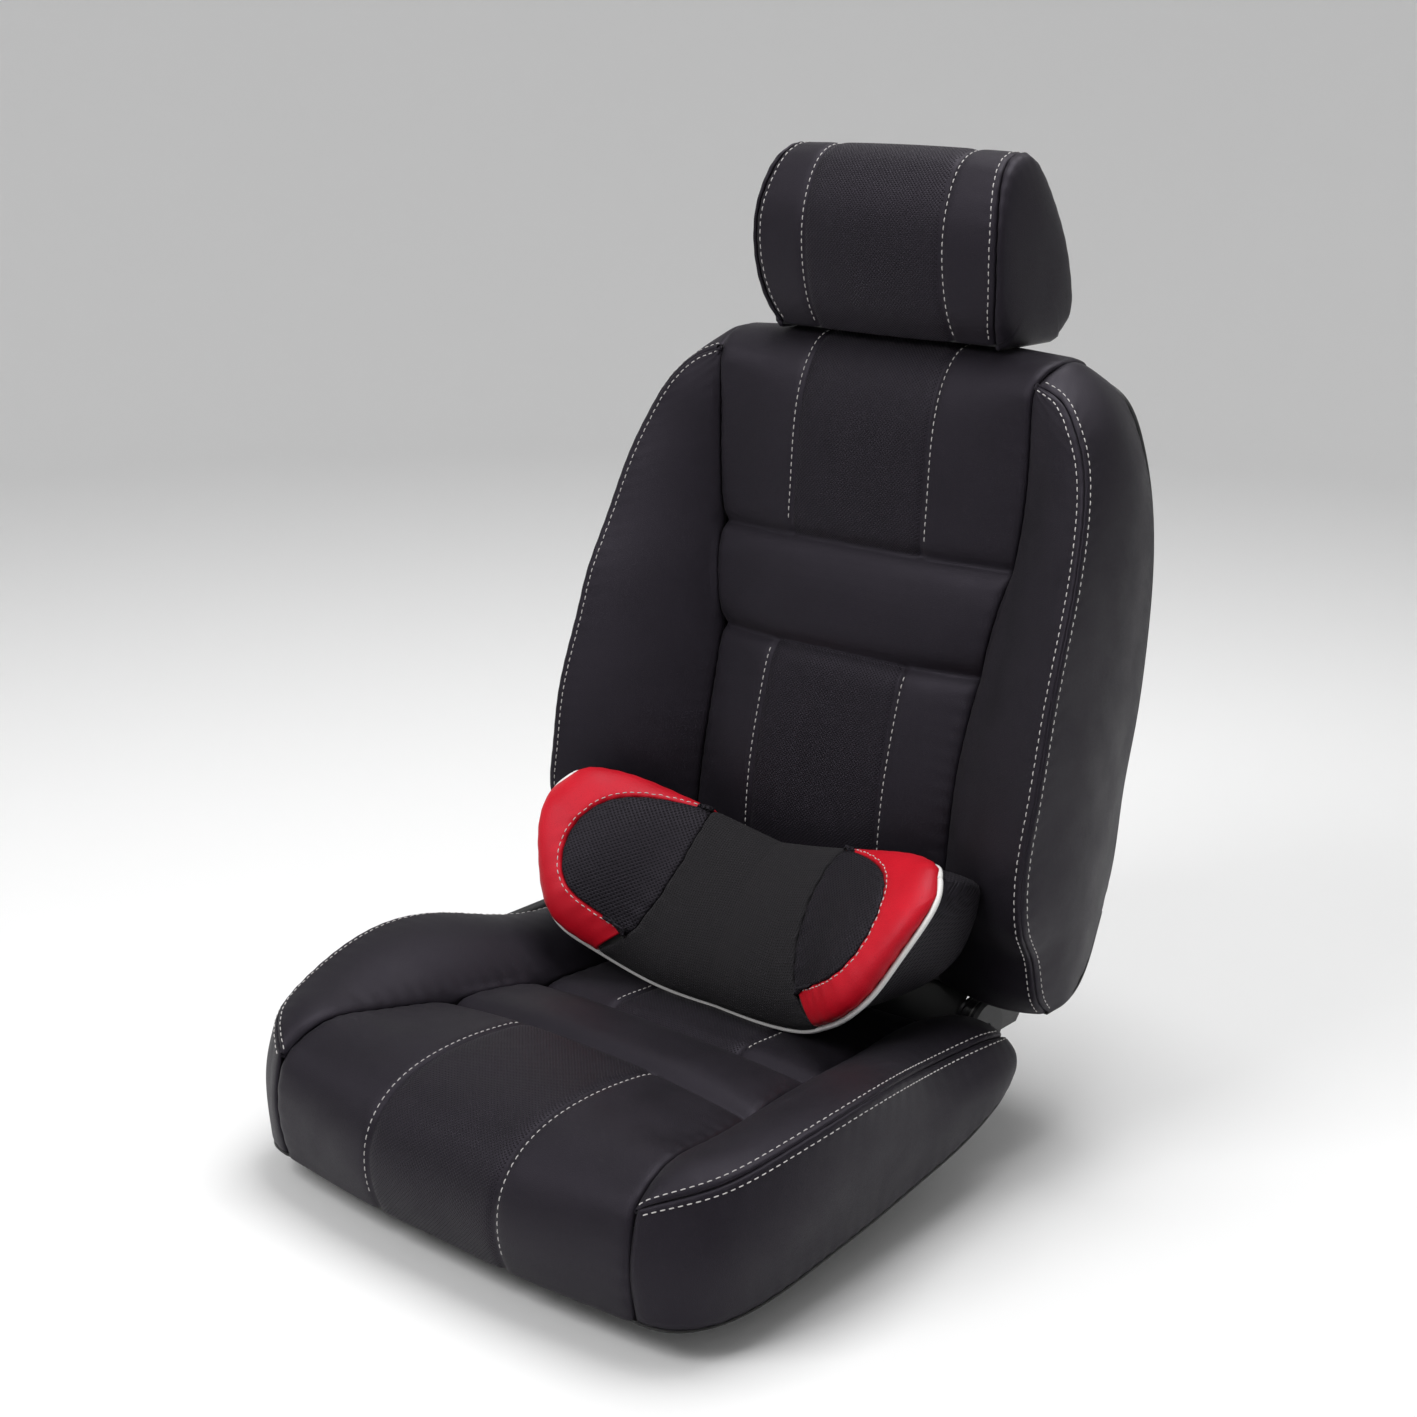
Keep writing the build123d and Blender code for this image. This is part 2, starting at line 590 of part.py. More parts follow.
def back_section(station, skin):
    """One level section of the left back bolster, drawn in by the skin's thickness."""
    z, seam_y, crest_x, crest_y, wide_x, corner_y = station
    seam_x = along(BACK_SEAM, z)
    rear_y = max(along(BACK_REAR, z) - SKIN, corner_y + 2)
    inner_x = max(wide_x - 38, seam_x + 8)
    points = [
        (seam_x, rear_y - skin),
        (seam_x, seam_y + skin),
        ((seam_x + crest_x) / 2, seam_y - 0.55 * (seam_y - crest_y) + skin),
        (crest_x - skin / 2, crest_y + skin),
        (min(crest_x + 9, wide_x - 1.5) - skin, crest_y + 12 + skin),
        (wide_x - skin, (crest_y + corner_y) / 2),
        (wide_x - 12 - skin, corner_y - skin),
        (inner_x - skin, rear_y - skin),
    ]
    return outline(Plane.XY.offset(z), points)


def back_bolster(skin):
    """The left back bolster with the frame's hollow cut out, in the current part."""
    stations = list(BACK_BOLSTER)
    stations[0] = (stations[0][0] + skin,) + stations[0][1:]
    stations[-1] = (stations[-1][0] - skin,) + stations[-1][1:]
    loft(sections=[back_section(station, skin) for station in stations], ruled=True)
    cut_hollow(BACK_CAVITY_X)


with BuildPart() as bolster_foam:
    back_bolster(SKIN)
finish_pair(bolster_foam, "back_bolster_foam")
with BuildPart() as bolster_cover:
    back_bolster(0)
    add(bolster_foam.part, mode=Mode.SUBTRACT)
finish_pair(bolster_cover, "back_bolster_cover")

with BuildPart() as back_rear_panel:
    panel = rear_line[:-1] + [(y - SKIN, z) for y, z in reversed(rear_line[:-1])]
    extrude(outline(Plane.YZ, panel), amount=220, both=True)
    with BuildSketch(Plane.XZ.offset(-500)):
        with Locations((0, 398)):
            RectangleRounded(440, 478, 60)
    extrude(amount=500, mode=Mode.INTERSECT)
finish(back_rear_panel, "back_rear_panel")

# ---------------------------------------------------------------- headrest
for name, s in SIDES:
    with BuildPart() as post:
        with BuildSketch(post_plane(s, -POST_DEPTH)):
            Circle(POST_R)
        extrude(amount=POST_DEPTH + POST_RISE)
    finish(post, f"headrest_post_{name}")

core_low, core_high, core_half, core_depth = 24.0, 100.0, 95.0, 36.0
core_plane = Plane(origin=(0, post_plane(0, core_low).origin.Y, post_plane(0, core_low).origin.Z),
                   x_dir=(1, 0, 0), z_dir=post_plane(0, 0).z_dir)
with BuildPart() as headrest_core:
    with BuildSketch(core_plane):
        RectangleRounded(2 * core_half, core_depth, 12)
    extrude(amount=core_high - core_low)
    for s in (-1, 1):
        with BuildSketch(post_plane(s, core_low)):
            Circle(POST_R)
        extrude(amount=POST_RISE - core_low, mode=Mode.SUBTRACT)
finish(headrest_core, "headrest_core")



def headrest_body(skin, mode):
    """The headrest's outer form, drawn in by the skin's thickness, in the current part."""
    extrude(outline(Plane.YZ, HEADREST_OUTLINE, skin), amount=HEADREST_HALF, both=True, mode=mode)
    for s in (-1, 1):
        end = Plane(origin=(s * HEADREST_HALF, 0, 0), x_dir=(0, s, 0), z_dir=(s, 0, 0))
        face = outline(end, [(s * y, z) for y, z in HEADREST_OUTLINE], skin)
        extrude(face, amount=HEADREST_CAP - skin, taper=40, mode=mode)


panel_z = 699.0
with BuildPart() as headrest_foam:
    headrest_body(SKIN, Mode.ADD)
    with BuildSketch(core_plane):
        RectangleRounded(2 * core_half, core_depth, 12)
    extrude(amount=core_high - core_low, mode=Mode.SUBTRACT)
    for s in (-1, 1):
        with BuildSketch(post_plane(s, 0)):
            Circle(POST_R)
        extrude(amount=core_low + 1, mode=Mode.SUBTRACT)
finish(headrest_foam, "headrest_foam")

with BuildPart() as headrest_cover:
    headrest_body(0, Mode.ADD)
    headrest_body(SKIN, Mode.SUBTRACT)
    with Locations((0, 385, panel_z)):
        Box(220, 76, 2 * SKIN, mode=Mode.SUBTRACT)
finish(headrest_cover, "headrest_cover")

with BuildPart() as headrest_base:
    with Locations((0, 385, panel_z + SKIN / 2)):
        Box(219, 75, SKIN)
    for s in (-1, 1):
        with BuildSketch(post_plane(s, 0)):
            Circle(POST_R)
        extrude(amount=core_low, mode=Mode.SUBTRACT)
finish(headrest_base, "headrest_base")

# ---------------------------------------------------------------- lumbar pillow
PILLOW_FULL = [(-x, *rest) for x, *rest in reversed(PILLOW[1:])] + PILLOW


def pillow_body(skin):
    """The pillow's closed form, drawn in by the skin's thickness, in the current part."""
    sections = []
    for x, y, z, depth, height in PILLOW_FULL:
        end = skin if abs(x) == PILLOW[-1][0] else 0
        with BuildSketch(Plane.YZ.offset(x - end if x > 0 else x + end)) as section:
            with Locations((y, z)):
                Ellipse(depth - skin, height - skin)
        sections.append(section.sketch)
    loft(sections=sections, ruled=True)


with BuildPart() as pillow_fill:
    pillow_body(SKIN)
finish(pillow_fill, "pillow_fill")

with BuildPart() as pillow_skin:
    pillow_body(0)
    add(pillow_fill.part, mode=Mode.SUBTRACT)

with BuildPart() as pillow_cover:
    add(pillow_skin.part)
    with Locations((0, 160, 200)):
        Box(2 * PILLOW_SPLIT, 300, 300, mode=Mode.INTERSECT)
finish(pillow_cover, "pillow_cover")

for name, s in SIDES:
    with BuildPart() as band:
        add(pillow_skin.part)
        with Locations((s * (PILLOW_SPLIT + 100), 160, 200)):
            Box(200, 300, 300, mode=Mode.INTERSECT)
    finish(band, f"pillow_band_{name}")

ring_x, ring_y, ring_z, ring_depth, ring_height = PILLOW[-2]
with BuildPart() as pillow_piping:
    for name, s in SIDES:
        with BuildSketch(Plane.YZ.offset(s * (ring_x + 2))):
            with Locations((ring_y, ring_z)):
                Ellipse(ring_depth + SKIN, ring_height + SKIN)
                Ellipse(ring_depth, ring_height, mode=Mode.SUBTRACT)
        extrude(amount=2, both=True)
finish(pillow_piping, "pillow_piping")
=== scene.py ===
"""Looks of the sliding, reclining seat with headrest and lumbar pillow.

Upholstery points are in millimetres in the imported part's frame and become metres where a mesh is
made. Lines are listed for the seat's left side, and the right side is their mirror image.
"""
import json
import math

import bpy
import numpy as np
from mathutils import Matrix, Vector


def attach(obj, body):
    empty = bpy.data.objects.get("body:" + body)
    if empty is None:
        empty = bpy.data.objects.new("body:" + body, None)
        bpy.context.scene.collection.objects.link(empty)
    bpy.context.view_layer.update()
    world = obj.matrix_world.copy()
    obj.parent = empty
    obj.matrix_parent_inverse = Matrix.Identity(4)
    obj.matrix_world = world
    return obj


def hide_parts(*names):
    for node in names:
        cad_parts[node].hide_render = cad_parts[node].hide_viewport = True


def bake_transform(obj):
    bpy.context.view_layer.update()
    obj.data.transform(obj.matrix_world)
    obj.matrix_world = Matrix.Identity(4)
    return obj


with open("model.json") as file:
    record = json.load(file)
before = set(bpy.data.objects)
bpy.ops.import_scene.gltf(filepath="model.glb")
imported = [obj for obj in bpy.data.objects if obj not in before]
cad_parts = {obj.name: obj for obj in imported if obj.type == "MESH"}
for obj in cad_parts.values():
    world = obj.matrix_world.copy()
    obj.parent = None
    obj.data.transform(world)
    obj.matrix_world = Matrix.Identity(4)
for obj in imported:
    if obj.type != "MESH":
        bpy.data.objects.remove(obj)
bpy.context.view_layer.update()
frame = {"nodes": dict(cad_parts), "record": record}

MM = 0.001

# Upholstery
SEAM_WIDTH, SEAM_DEPTH = 9.0, 3.2  # how a panel rolls down into its seams
CENTRE_WIDTH, CENTRE_DEPTH = 11.0, 4.0  # the same for the centre panels
CREASE_WIDTH, CREASE_DEPTH = 9.0, 8.0  # the cross creases of the centre panels
LONG_WIDTH, LONG_DEPTH = 4.0, 2.6  # their two long seams
BAND_SWELL = 5.0  # how far the plain band between the creases stands out
COVER_THICKNESS, PILLOW_THICKNESS, LINING_THICKNESS, SHEET_THICKNESS = 3.5, 2.5, 2.0, 1.0
EDGE_GATHER, CENTRE_GATHER, PILLOW_GATHER = 0.3, 0.35, 0.5  # depth of the gathers by a seam
FILL_PUSH, FILL_STEPS, FILL_MOST = 2.0, 16, 3.0  # pressure, frames and largest move of a cover
STITCH_LENGTH, STITCH_PITCH, STITCH_RADIUS = 5.0, 6.9, 0.5
STITCH_OFFSET = 7.0  # from a seam to its row of stitches
PANEL_LINE, LONG_OFFSET = 73.0, 4.5  # x of the long seams, and from there to their stitches
CREASE_GAP = 6.0  # from a crease to the end of a row of stitches
THREAD_SIDES = 6
CUSHION_CREASES = (-55.0, 44.0)  # y
BACK_CREASES = (412.0, 507.0)  # z


def show(piece):
    """Puts an object in the scene."""
    bpy.context.scene.collection.objects.link(piece)


# ---- curves and grids
def cubic(knots, values, at):
    """A natural cubic spline through the values at the knots, read at the places asked."""
    knots, values, at = np.asarray(knots, float), np.asarray(values, float), np.asarray(at, float)
    count, step = len(knots), np.diff(knots)
    curve = np.zeros_like(values)
    if count > 2:
        matrix, right = np.eye(count), np.zeros_like(values)
        for i in range(1, count - 1):
            matrix[i, i - 1:i + 2] = step[i - 1], 2 * (step[i - 1] + step[i]), step[i]
            rise = (values[i + 1] - values[i]) / step[i] - (values[i] - values[i - 1]) / step[i - 1]
            right[i] = 6 * rise
        curve = np.linalg.solve(matrix, right)
    k = np.clip(np.searchsorted(knots, at) - 1, 0, count - 2)
    h = step[k][:, None]
    a, b = (knots[k + 1] - at)[:, None] / h, (at - knots[k])[:, None] / h
    bend = ((a ** 3 - a) * curve[k] + (b ** 3 - b) * curve[k + 1]) * h ** 2 / 6
    return a * values[k] + b * values[k + 1] + bend


def lengths(points):
    """Distance along a line of points, from 0."""
    return np.concatenate([[0], np.cumsum(np.linalg.norm(np.diff(points, axis=0), axis=1))])


def rail(points, count):
    """Evenly spaced points on a smooth line through given points."""
    points = np.asarray(points, float)
    along = lengths(points)
    dense = cubic(along, points, np.linspace(0, along[-1], 1200))
    true = lengths(dense)
    at = np.linspace(0, true[-1], count)
    return np.stack([np.interp(at, true, dense[:, i]) for i in range(3)], axis=1)


def flip(points):
    """The mirror image of points across the seat's middle."""
    return [(-x, y, z) for x, y, z in points]


def strip(rails, across):
    """A grid through rails that run side by side."""
    rails = np.stack(rails)
    gaps = np.linalg.norm(np.diff(rails, axis=0), axis=2).mean(axis=1)
    knots = np.concatenate([[0], np.cumsum(gaps)])
    at = np.linspace(0, knots[-1], across)
    count = rails.shape[1]
    flat = cubic(knots, rails.reshape(len(rails), -1), at).reshape(across, count, 3)
    return flat.transpose(1, 0, 2)


def normals(grid, inside):
    """Unit normals of a grid, pointing away from an inside point."""
    along, over = np.gradient(grid, axis=0), np.gradient(grid, axis=1)
    normal = np.cross(along, over)
    normal /= np.maximum(np.linalg.norm(normal, axis=2, keepdims=True), 1e-9)
    outward = np.einsum("ijk,ijk->ij", normal, grid - np.asarray(inside, float))
    return normal * (1 if outward.sum() > 0 else -1)


def spans(grid):
    """Distance along the grid's first and second directions, from their first edges."""
    first = np.zeros(grid.shape[:2])
    first[1:] = np.cumsum(np.linalg.norm(np.diff(grid, axis=0), axis=2), axis=0)
    second = np.zeros(grid.shape[:2])
    second[:, 1:] = np.cumsum(np.linalg.norm(np.diff(grid, axis=1), axis=2), axis=1)
    return first, second


def swell(grid, inside, amount, power=0.8):
    """Bulges a grid between its two long edges, by an amount that may change along them."""
    amount = np.broadcast_to(np.asarray(amount, float), grid.shape[:1])
    shape = np.sin(np.pi * np.linspace(0, 1, grid.shape[1])) ** power
    return grid + normals(grid, inside) * (amount[:, None] * shape[None, :])[..., None]


def edge_distance(grid, edges):
    """Distance to the nearest of the named edges: a, b are the long ones, c, d the ends."""
    first, second = spans(grid)
    away = {"a": second, "b": second[:, -1:] - second, "c": first, "d": first[-1:] - first}
    return np.min([away[e] for e in edges], axis=0)


def roll(distance, width, depth):
    """How far a surface drops as it rolls over into a seam."""
    t = 1 - np.clip(distance / width, 0, 1)
    return -depth * (1 - np.sqrt(np.maximum(1 - t * t, 0)))


def pucker(grid, distance, size, reach=11.0, wave=17.0):
    """Small gathers that run away from a sewn seam."""
    first, second = spans(grid)
    phase = 0.9 * np.sin(first / 41.0 + 1.3) + 0.7 * np.sin(first / 97.0 + second / 60.0)
    return size * np.sin(2 * np.pi * first / wave + 2.2 * phase) * np.exp(-distance / reach)


def groove(distance, width, depth):
    """A soft valley about a sewn line."""
    return -depth * np.exp(-(np.abs(distance) / width) ** 1.3)


def meet(grid, line, edge, fade=11.0):
    """Draws a grid's long edge onto a line of points, and less and less of what lies behind it."""
    column = grid[:, 0 if edge == "a" else -1]
    nearest = np.linalg.norm(line[None] - column[:, None], axis=2).argmin(axis=1)
    before, after = line[np.maximum(nearest - 1, 0)], line[np.minimum(nearest + 1, len(line) - 1)]
    span = after - before
    share = np.einsum("ij,ij->i", column - before, span) / np.maximum((span ** 2).sum(axis=1), 1e-9)
    shift = before + np.clip(share, 0, 1)[:, None] * span - column
    weight = np.clip(1 - edge_distance(grid, edge) / fade, 0, 1) ** 1.6
    return grid + shift[:, None] * weight[..., None]


def settle(grid, inside):
    """The cover as it fills out under the foam's push, with its seams held; a cloth simulation."""
    rows = np.unique(np.linspace(0, grid.shape[0] - 1, 71).astype(int))
    columns = np.unique(np.linspace(0, grid.shape[1] - 1, 41).astype(int))
    coarse = grid[np.ix_(rows, columns)]
    faces = grid_faces(*coarse.shape[:2])
    if np.einsum("ijk,ijk->", normals(coarse, inside), facing(coarse)) > 0:
        faces = [face[::-1] for face in faces]
    mesh = bpy.data.meshes.new("trial_cover")
    mesh.from_pydata((coarse.reshape(-1, 3) * MM).tolist(), [], faces)
    trial = bpy.data.objects.new("trial_cover", mesh)
    show(trial)
    border = np.zeros(coarse.shape[:2], bool)
    border[[0, -1], :] = border[:, [0, -1]] = True
    trial.vertex_groups.new(name="seam").add(np.flatnonzero(border).tolist(), 1.0, "REPLACE")
    cover = trial.modifiers.new("cover", "CLOTH")
    cover.settings.quality, cover.settings.mass = 6, 0.4
    cover.settings.tension_stiffness = cover.settings.compression_stiffness = 25
    cover.settings.shear_stiffness, cover.settings.bending_stiffness = 10, 4
    cover.settings.vertex_group_mass = "seam"
    cover.settings.use_pressure, cover.settings.uniform_pressure_force = True, FILL_PUSH
    cover.settings.effector_weights.gravity = 0
    cover.point_cache.frame_start, cover.point_cache.frame_end = 1, FILL_STEPS
    for step in range(1, FILL_STEPS + 1):
        bpy.context.scene.frame_set(step)
    came_to = trial.evaluated_get(bpy.context.evaluated_depsgraph_get()).to_mesh()
    after = np.empty(len(came_to.vertices) * 3)
    came_to.vertices.foreach_get("co", after)
    move = after.reshape(coarse.shape) / MM - coarse
    size = np.linalg.norm(move, axis=2, keepdims=True)
    move *= FILL_MOST * np.tanh(size / FILL_MOST) / np.maximum(size, 1e-9)
    bpy.data.objects.remove(trial)
    bpy.data.meshes.remove(mesh)
    bpy.context.scene.frame_set(1)
    wide = np.stack([[np.interp(np.arange(grid.shape[1]), columns, line[:, k]) for k in range(3)]
                     for line in move])
    full = np.stack([np.interp(np.arange(grid.shape[0]), rows, wide[:, k, j])
                     for k in range(3) for j in range(grid.shape[1])])
    return grid + full.reshape(3, grid.shape[1], grid.shape[0]).transpose(2, 1, 0)


def facing(grid):
    """Normals of a grid's faces as its quads are listed, at its points."""
    return np.cross(np.gradient(grid, axis=0), np.gradient(grid, axis=1))


# ---- meshes
def mesh_object(name, verts, faces, material, body, uvs=None):
    """A smooth-shaded mesh that rides on a CAD body, if one is named; points are in millimetres."""
    mesh = bpy.data.meshes.new(name)
    mesh.from_pydata((np.asarray(verts) * MM).tolist(), [], faces)
    mesh.update()
    mesh.polygons.foreach_set("use_smooth", [True] * len(mesh.polygons))
    if uvs is not None:
        layer = mesh.uv_layers.new(name="surface")
        index = np.empty(len(mesh.loops), int)
        mesh.loops.foreach_get("vertex_index", index)
        layer.data.foreach_set("uv", (np.asarray(uvs)[index] * MM).ravel())
    piece = bpy.data.objects.new(name, mesh)
    show(piece)
    mesh.materials.append(material)
    if body:
        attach(piece, body)
    return piece


def grid_faces(rows, columns):
    """Quads of a grid."""
    return [(a, a + 1, a + columns + 1, a + columns)
            for i in range(rows - 1) for a in range(i * columns, (i + 1) * columns - 1)]


def thicken(piece, thickness):
    """Gives a piece real thickness, inwards from its outer face."""
    solid = piece.modifiers.new("thickness", "SOLIDIFY")
    solid.thickness, solid.offset = thickness * MM, -1
    return piece


def panel(name, grid, inside, material, body, thickness=COVER_THICKNESS,
          centred=False, slope=None):
    """An upholstery panel with real thickness, outer face on the grid.

    Its pattern runs along the grid, from the middle if centred, or along X and the slope given."""
    first, second = spans(grid)
    if centred:
        second = second - second[:, -1:] / 2
    if slope is not None:
        first, second = grid @ np.asarray(slope, float), grid[..., 0]
    uvs = np.stack([second, first], axis=2).reshape(-1, 2)
    faces = grid_faces(*grid.shape[:2])
    if np.einsum("ijk,ijk->", facing(grid), normals(grid, inside)) > 0:
        faces = [face[::-1] for face in faces]
    piece = mesh_object(name, grid.reshape(-1, 3), faces, material, body, uvs)
    return thicken(piece, thickness)


def bend_rows(grid, inside, depth):
    """Moves each point of a grid outwards by its own depth."""
    return grid + normals(grid, inside) * depth[..., None]


def row_at(grid, inside, distance, edge="a"):
    """The line at a distance from a long edge of a grid, and its normals."""
    _, second = spans(grid)
    away = second if edge == "a" else second[:, -1:] - second
    order = 1 if edge == "a" else -1
    up = normals(grid, inside)
    line, normal = [], []
    for i in range(grid.shape[0]):
        x = away[i, ::order]
        if x[-1] < 1.2 * distance:
            continue
        line.append([np.interp(distance, x, grid[i, ::order, k]) for k in range(3)])
        normal.append([np.interp(distance, x, up[i, ::order, k]) for k in range(3)])
    return np.array(line), np.array(normal)


def stitches(name, rows, body):
    """Thread laid along lines: each row is a line of points and its normals."""
    verts, faces = [], []
    ring = np.linspace(0, 2 * np.pi, THREAD_SIDES, endpoint=False)
    profile = [  # share of its length, thickness, and height above the cover
        (0.0, 0.35, -0.55), (0.18, 0.9, 0.05), (0.5, 1.0, 0.25), (0.82, 0.9, 0.05),
        (1.0, 0.35, -0.55),
    ]
    for line, normal in rows:
        along = lengths(line)
        start = STITCH_PITCH
        while start + STITCH_LENGTH < along[-1] - 2:
            base = len(verts)
            for part, scale, lift in profile:
                at = start + part * STITCH_LENGTH
                point = np.array([np.interp(at, along, line[:, k]) for k in range(3)])
                ahead = np.array([np.interp(at + 1, along, line[:, k]) for k in range(3)]) - point
                up = np.array([np.interp(at, along, normal[:, k]) for k in range(3)])
                ahead /= max(np.linalg.norm(ahead), 1e-6)
                up /= max(np.linalg.norm(up), 1e-6)
                side = np.cross(ahead, up)
                for angle in ring:
                    spread = math.cos(angle) * side + math.sin(angle) * up
                    verts.append(point + up * lift + spread * STITCH_RADIUS * scale)
            for k in range(len(profile) - 1):
                ring_start = base + THREAD_SIDES * k
                for m in range(THREAD_SIDES):
                    a, b = ring_start + m, ring_start + (m + 1) % THREAD_SIDES
                    faces.append((a, a + THREAD_SIDES, b + THREAD_SIDES, b))
            last = base + THREAD_SIDES * (len(profile) - 1)
            faces.append(tuple(base + m for m in range(THREAD_SIDES)))
            faces.append(tuple(last + m for m in reversed(range(THREAD_SIDES))))
            start += STITCH_PITCH
    return mesh_object(name, verts, faces, THREAD, body)


def tube(name, line, radius, material, body, sides=12):
    """A round cord along a line of points."""
    line = np.asarray(line, float)
    ahead = np.gradient(line, axis=0)
    ahead /= np.linalg.norm(ahead, axis=1, keepdims=True)
    side = np.cross(ahead, [0, 0, 1.0])
    side /= np.maximum(np.linalg.norm(side, axis=1, keepdims=True), 1e-6)
    up = np.cross(side, ahead)
    angle = np.linspace(0, 2 * np.pi, sides, endpoint=False)
    ring = side[:, None] * np.cos(angle)[:, None] + up[:, None] * np.sin(angle)[:, None]
    verts = (line[:, None] + ring * radius).reshape(-1, 3)
    faces = []
    for i in range(len(line) - 1):
        for m in range(sides):
            a, b = i * sides + m, i * sides + (m + 1) % sides
            faces.append((a, b, b + sides, a + sides))
    faces.append(tuple(reversed(range(sides))))
    faces.append(tuple((len(line) - 1) * sides + m for m in range(sides)))
    return mesh_object(name, verts, faces, material, body)


# ---- materials
class Nodes:
    """Short names for building a material's node tree."""

    def __init__(self, name):
        self.material = bpy.data.materials.new(name)
        self.material.use_nodes = True
        self.tree = self.material.node_tree
        self.shader = self.tree.nodes["Principled BSDF"]

    def add(self, kind, **settings):
        node = self.tree.nodes.new(kind)
        for key, value in settings.items():
            if key in node.inputs:
                node.inputs[key].default_value = value
            else:
                setattr(node, key, value)
        return node

    def link(self, source, target):
        self.tree.links.new(source, target)

    def math(self, operation, first, second=None):
        node = self.add("ShaderNodeMath", operation=operation)
        for socket, value in zip(node.inputs, (first, second)):
            if value is None:
                continue
            if isinstance(value, (int, float)):
                socket.default_value = value
            else:
                self.link(value, socket)
        return node.outputs[0]

    def span(self, value, low, high, to_low=0.0, to_high=1.0):
        node = self.add("ShaderNodeMapRange")
        self.link(value, node.inputs["Value"])
        for key, number in zip(("From Min", "From Max", "To Min", "To Max"),
                               (low, high, to_low, to_high)):
            node.inputs[key].default_value = number
        return node.outputs[0]

    def noise(self, vector, scale, detail=3.0, roughness=0.5):
        node = self.add("ShaderNodeTexNoise", Scale=scale, Detail=detail, Roughness=roughness)
        self.link(vector, node.inputs["Vector"])
        return node.outputs["Fac"]

    def mix(self, factor, first, second):
        node = self.add("ShaderNodeMix", data_type="RGBA")
        self.link(factor, node.inputs[0])
        for socket, value in ((node.inputs[6], first), (node.inputs[7], second)):
            if isinstance(value, tuple):
                socket.default_value = (*value, 1)
            else:
                self.link(value, socket)
        return node.outputs[2]

    def bump(self, height, strength, distance, below=None):
        node = self.add("ShaderNodeBump", Strength=strength, Distance=distance)
        self.link(height, node.inputs["Height"])
        if below is not None:
            self.link(below, node.inputs["Normal"])
        return node.outputs["Normal"]


def leather(name, colour, light, rough, sheen=0.02, holes=None):
    """Grained leather; holes gives the pitch and radius in metres of a diamond grid of holes."""
    n = Nodes(name)
    place = n.add("ShaderNodeTexCoord").outputs["Object"]
    cells = n.add("ShaderNodeTexVoronoi", feature="DISTANCE_TO_EDGE", Scale=780.0)
    n.link(place, cells.inputs["Vector"])
    grain = n.span(cells.outputs["Distance"], 0.0, 0.32)
    broad = n.noise(place, 26.0, 4.0)
    fine = n.noise(place, 420.0, 2.0)
    height = n.math("ADD", n.math("MULTIPLY", grain, 0.8), n.math("MULTIPLY", fine, 0.4))
    tone = n.span(broad, 0.3, 0.75)
    shade = n.mix(tone, colour, light)
    base = n.mix(n.span(grain, 0.0, 0.25, 0.35, 0.0), shade, tuple(c * 0.4 for c in colour))
    roughness = n.math("ADD", n.span(broad, 0.3, 0.7, rough - 0.05, rough + 0.06),
                       n.span(grain, 0.0, 0.5, 0.08, 0.0))
    normal = n.bump(height, 0.32, 0.00025)
    if holes:
        pitch, radius = holes
        surface = n.add("ShaderNodeUVMap", uv_map="surface").outputs["UV"]
        split = n.add("ShaderNodeSeparateXYZ")
        n.link(surface, split.inputs[0])
        u, v = split.outputs["X"], split.outputs["Y"]
        diagonal = [n.math("ADD", u, v), n.math("SUBTRACT", u, v)]
        offs = []
        for d in diagonal:
            cell = n.math("FRACT", n.math("ADD", n.math("DIVIDE", d, pitch), 1000.5))
            offs.append(n.math("SUBTRACT", cell, 0.5))
        squared = n.math("ADD", n.math("POWER", n.math("ABSOLUTE", offs[0]), 2.0),
                         n.math("POWER", n.math("ABSOLUTE", offs[1]), 2.0))
        away = n.math("SQRT", squared)
        hole = n.span(away, radius / pitch * 0.8, radius / pitch * 1.25, 1.0, 0.0)
        base = n.mix(hole, base, (0.0015, 0.0015, 0.0015))
        roughness = n.math("ADD", roughness, n.math("MULTIPLY", hole, 0.35))
        dish = n.span(away, radius / pitch * 0.7, radius / pitch * 1.9, 0.0, 1.0)
        normal = n.bump(dish, 0.8, 0.0006, normal)
    n.link(base, n.shader.inputs["Base Color"])
    n.link(roughness, n.shader.inputs["Roughness"])
    n.link(normal, n.shader.inputs["Normal"])
    n.shader.inputs["Sheen Weight"].default_value = sheen
    n.shader.inputs["Sheen Roughness"].default_value = 0.5
    n.shader.inputs["Specular IOR Level"].default_value = 0.27
    n.shader.inputs["Specular Tint"].default_value = (0.9, 0.82, 1.0, 1)
    return n.material


def knit(name, colour, light, pitch):
    """Spacer mesh: rows of small staggered openings."""
    n = Nodes(name)
    surface = n.add("ShaderNodeUVMap", uv_map="surface").outputs["UV"]
    split = n.add("ShaderNodeSeparateXYZ")
    n.link(surface, split.inputs[0])
    u, v = split.outputs["X"], split.outputs["Y"]
    waves = []
    for d in (n.math("ADD", u, v), n.math("SUBTRACT", u, v)):
        waves.append(n.math("SINE", n.math("MULTIPLY", d, 2 * math.pi / pitch)))
    weave = n.math("MULTIPLY", waves[0], waves[1])
    opening = n.span(weave, 0.15, 0.75)
    base = n.mix(opening, light, colour)
    n.link(base, n.shader.inputs["Base Color"])
    n.link(n.bump(n.math("SUBTRACT", 1.0, opening), 0.9, 0.0007), n.shader.inputs["Normal"])
    n.shader.inputs["Roughness"].default_value = 0.82
    n.shader.inputs["Specular IOR Level"].default_value = 0.25
    n.shader.inputs["Sheen Weight"].default_value = 0.04
    return n.material


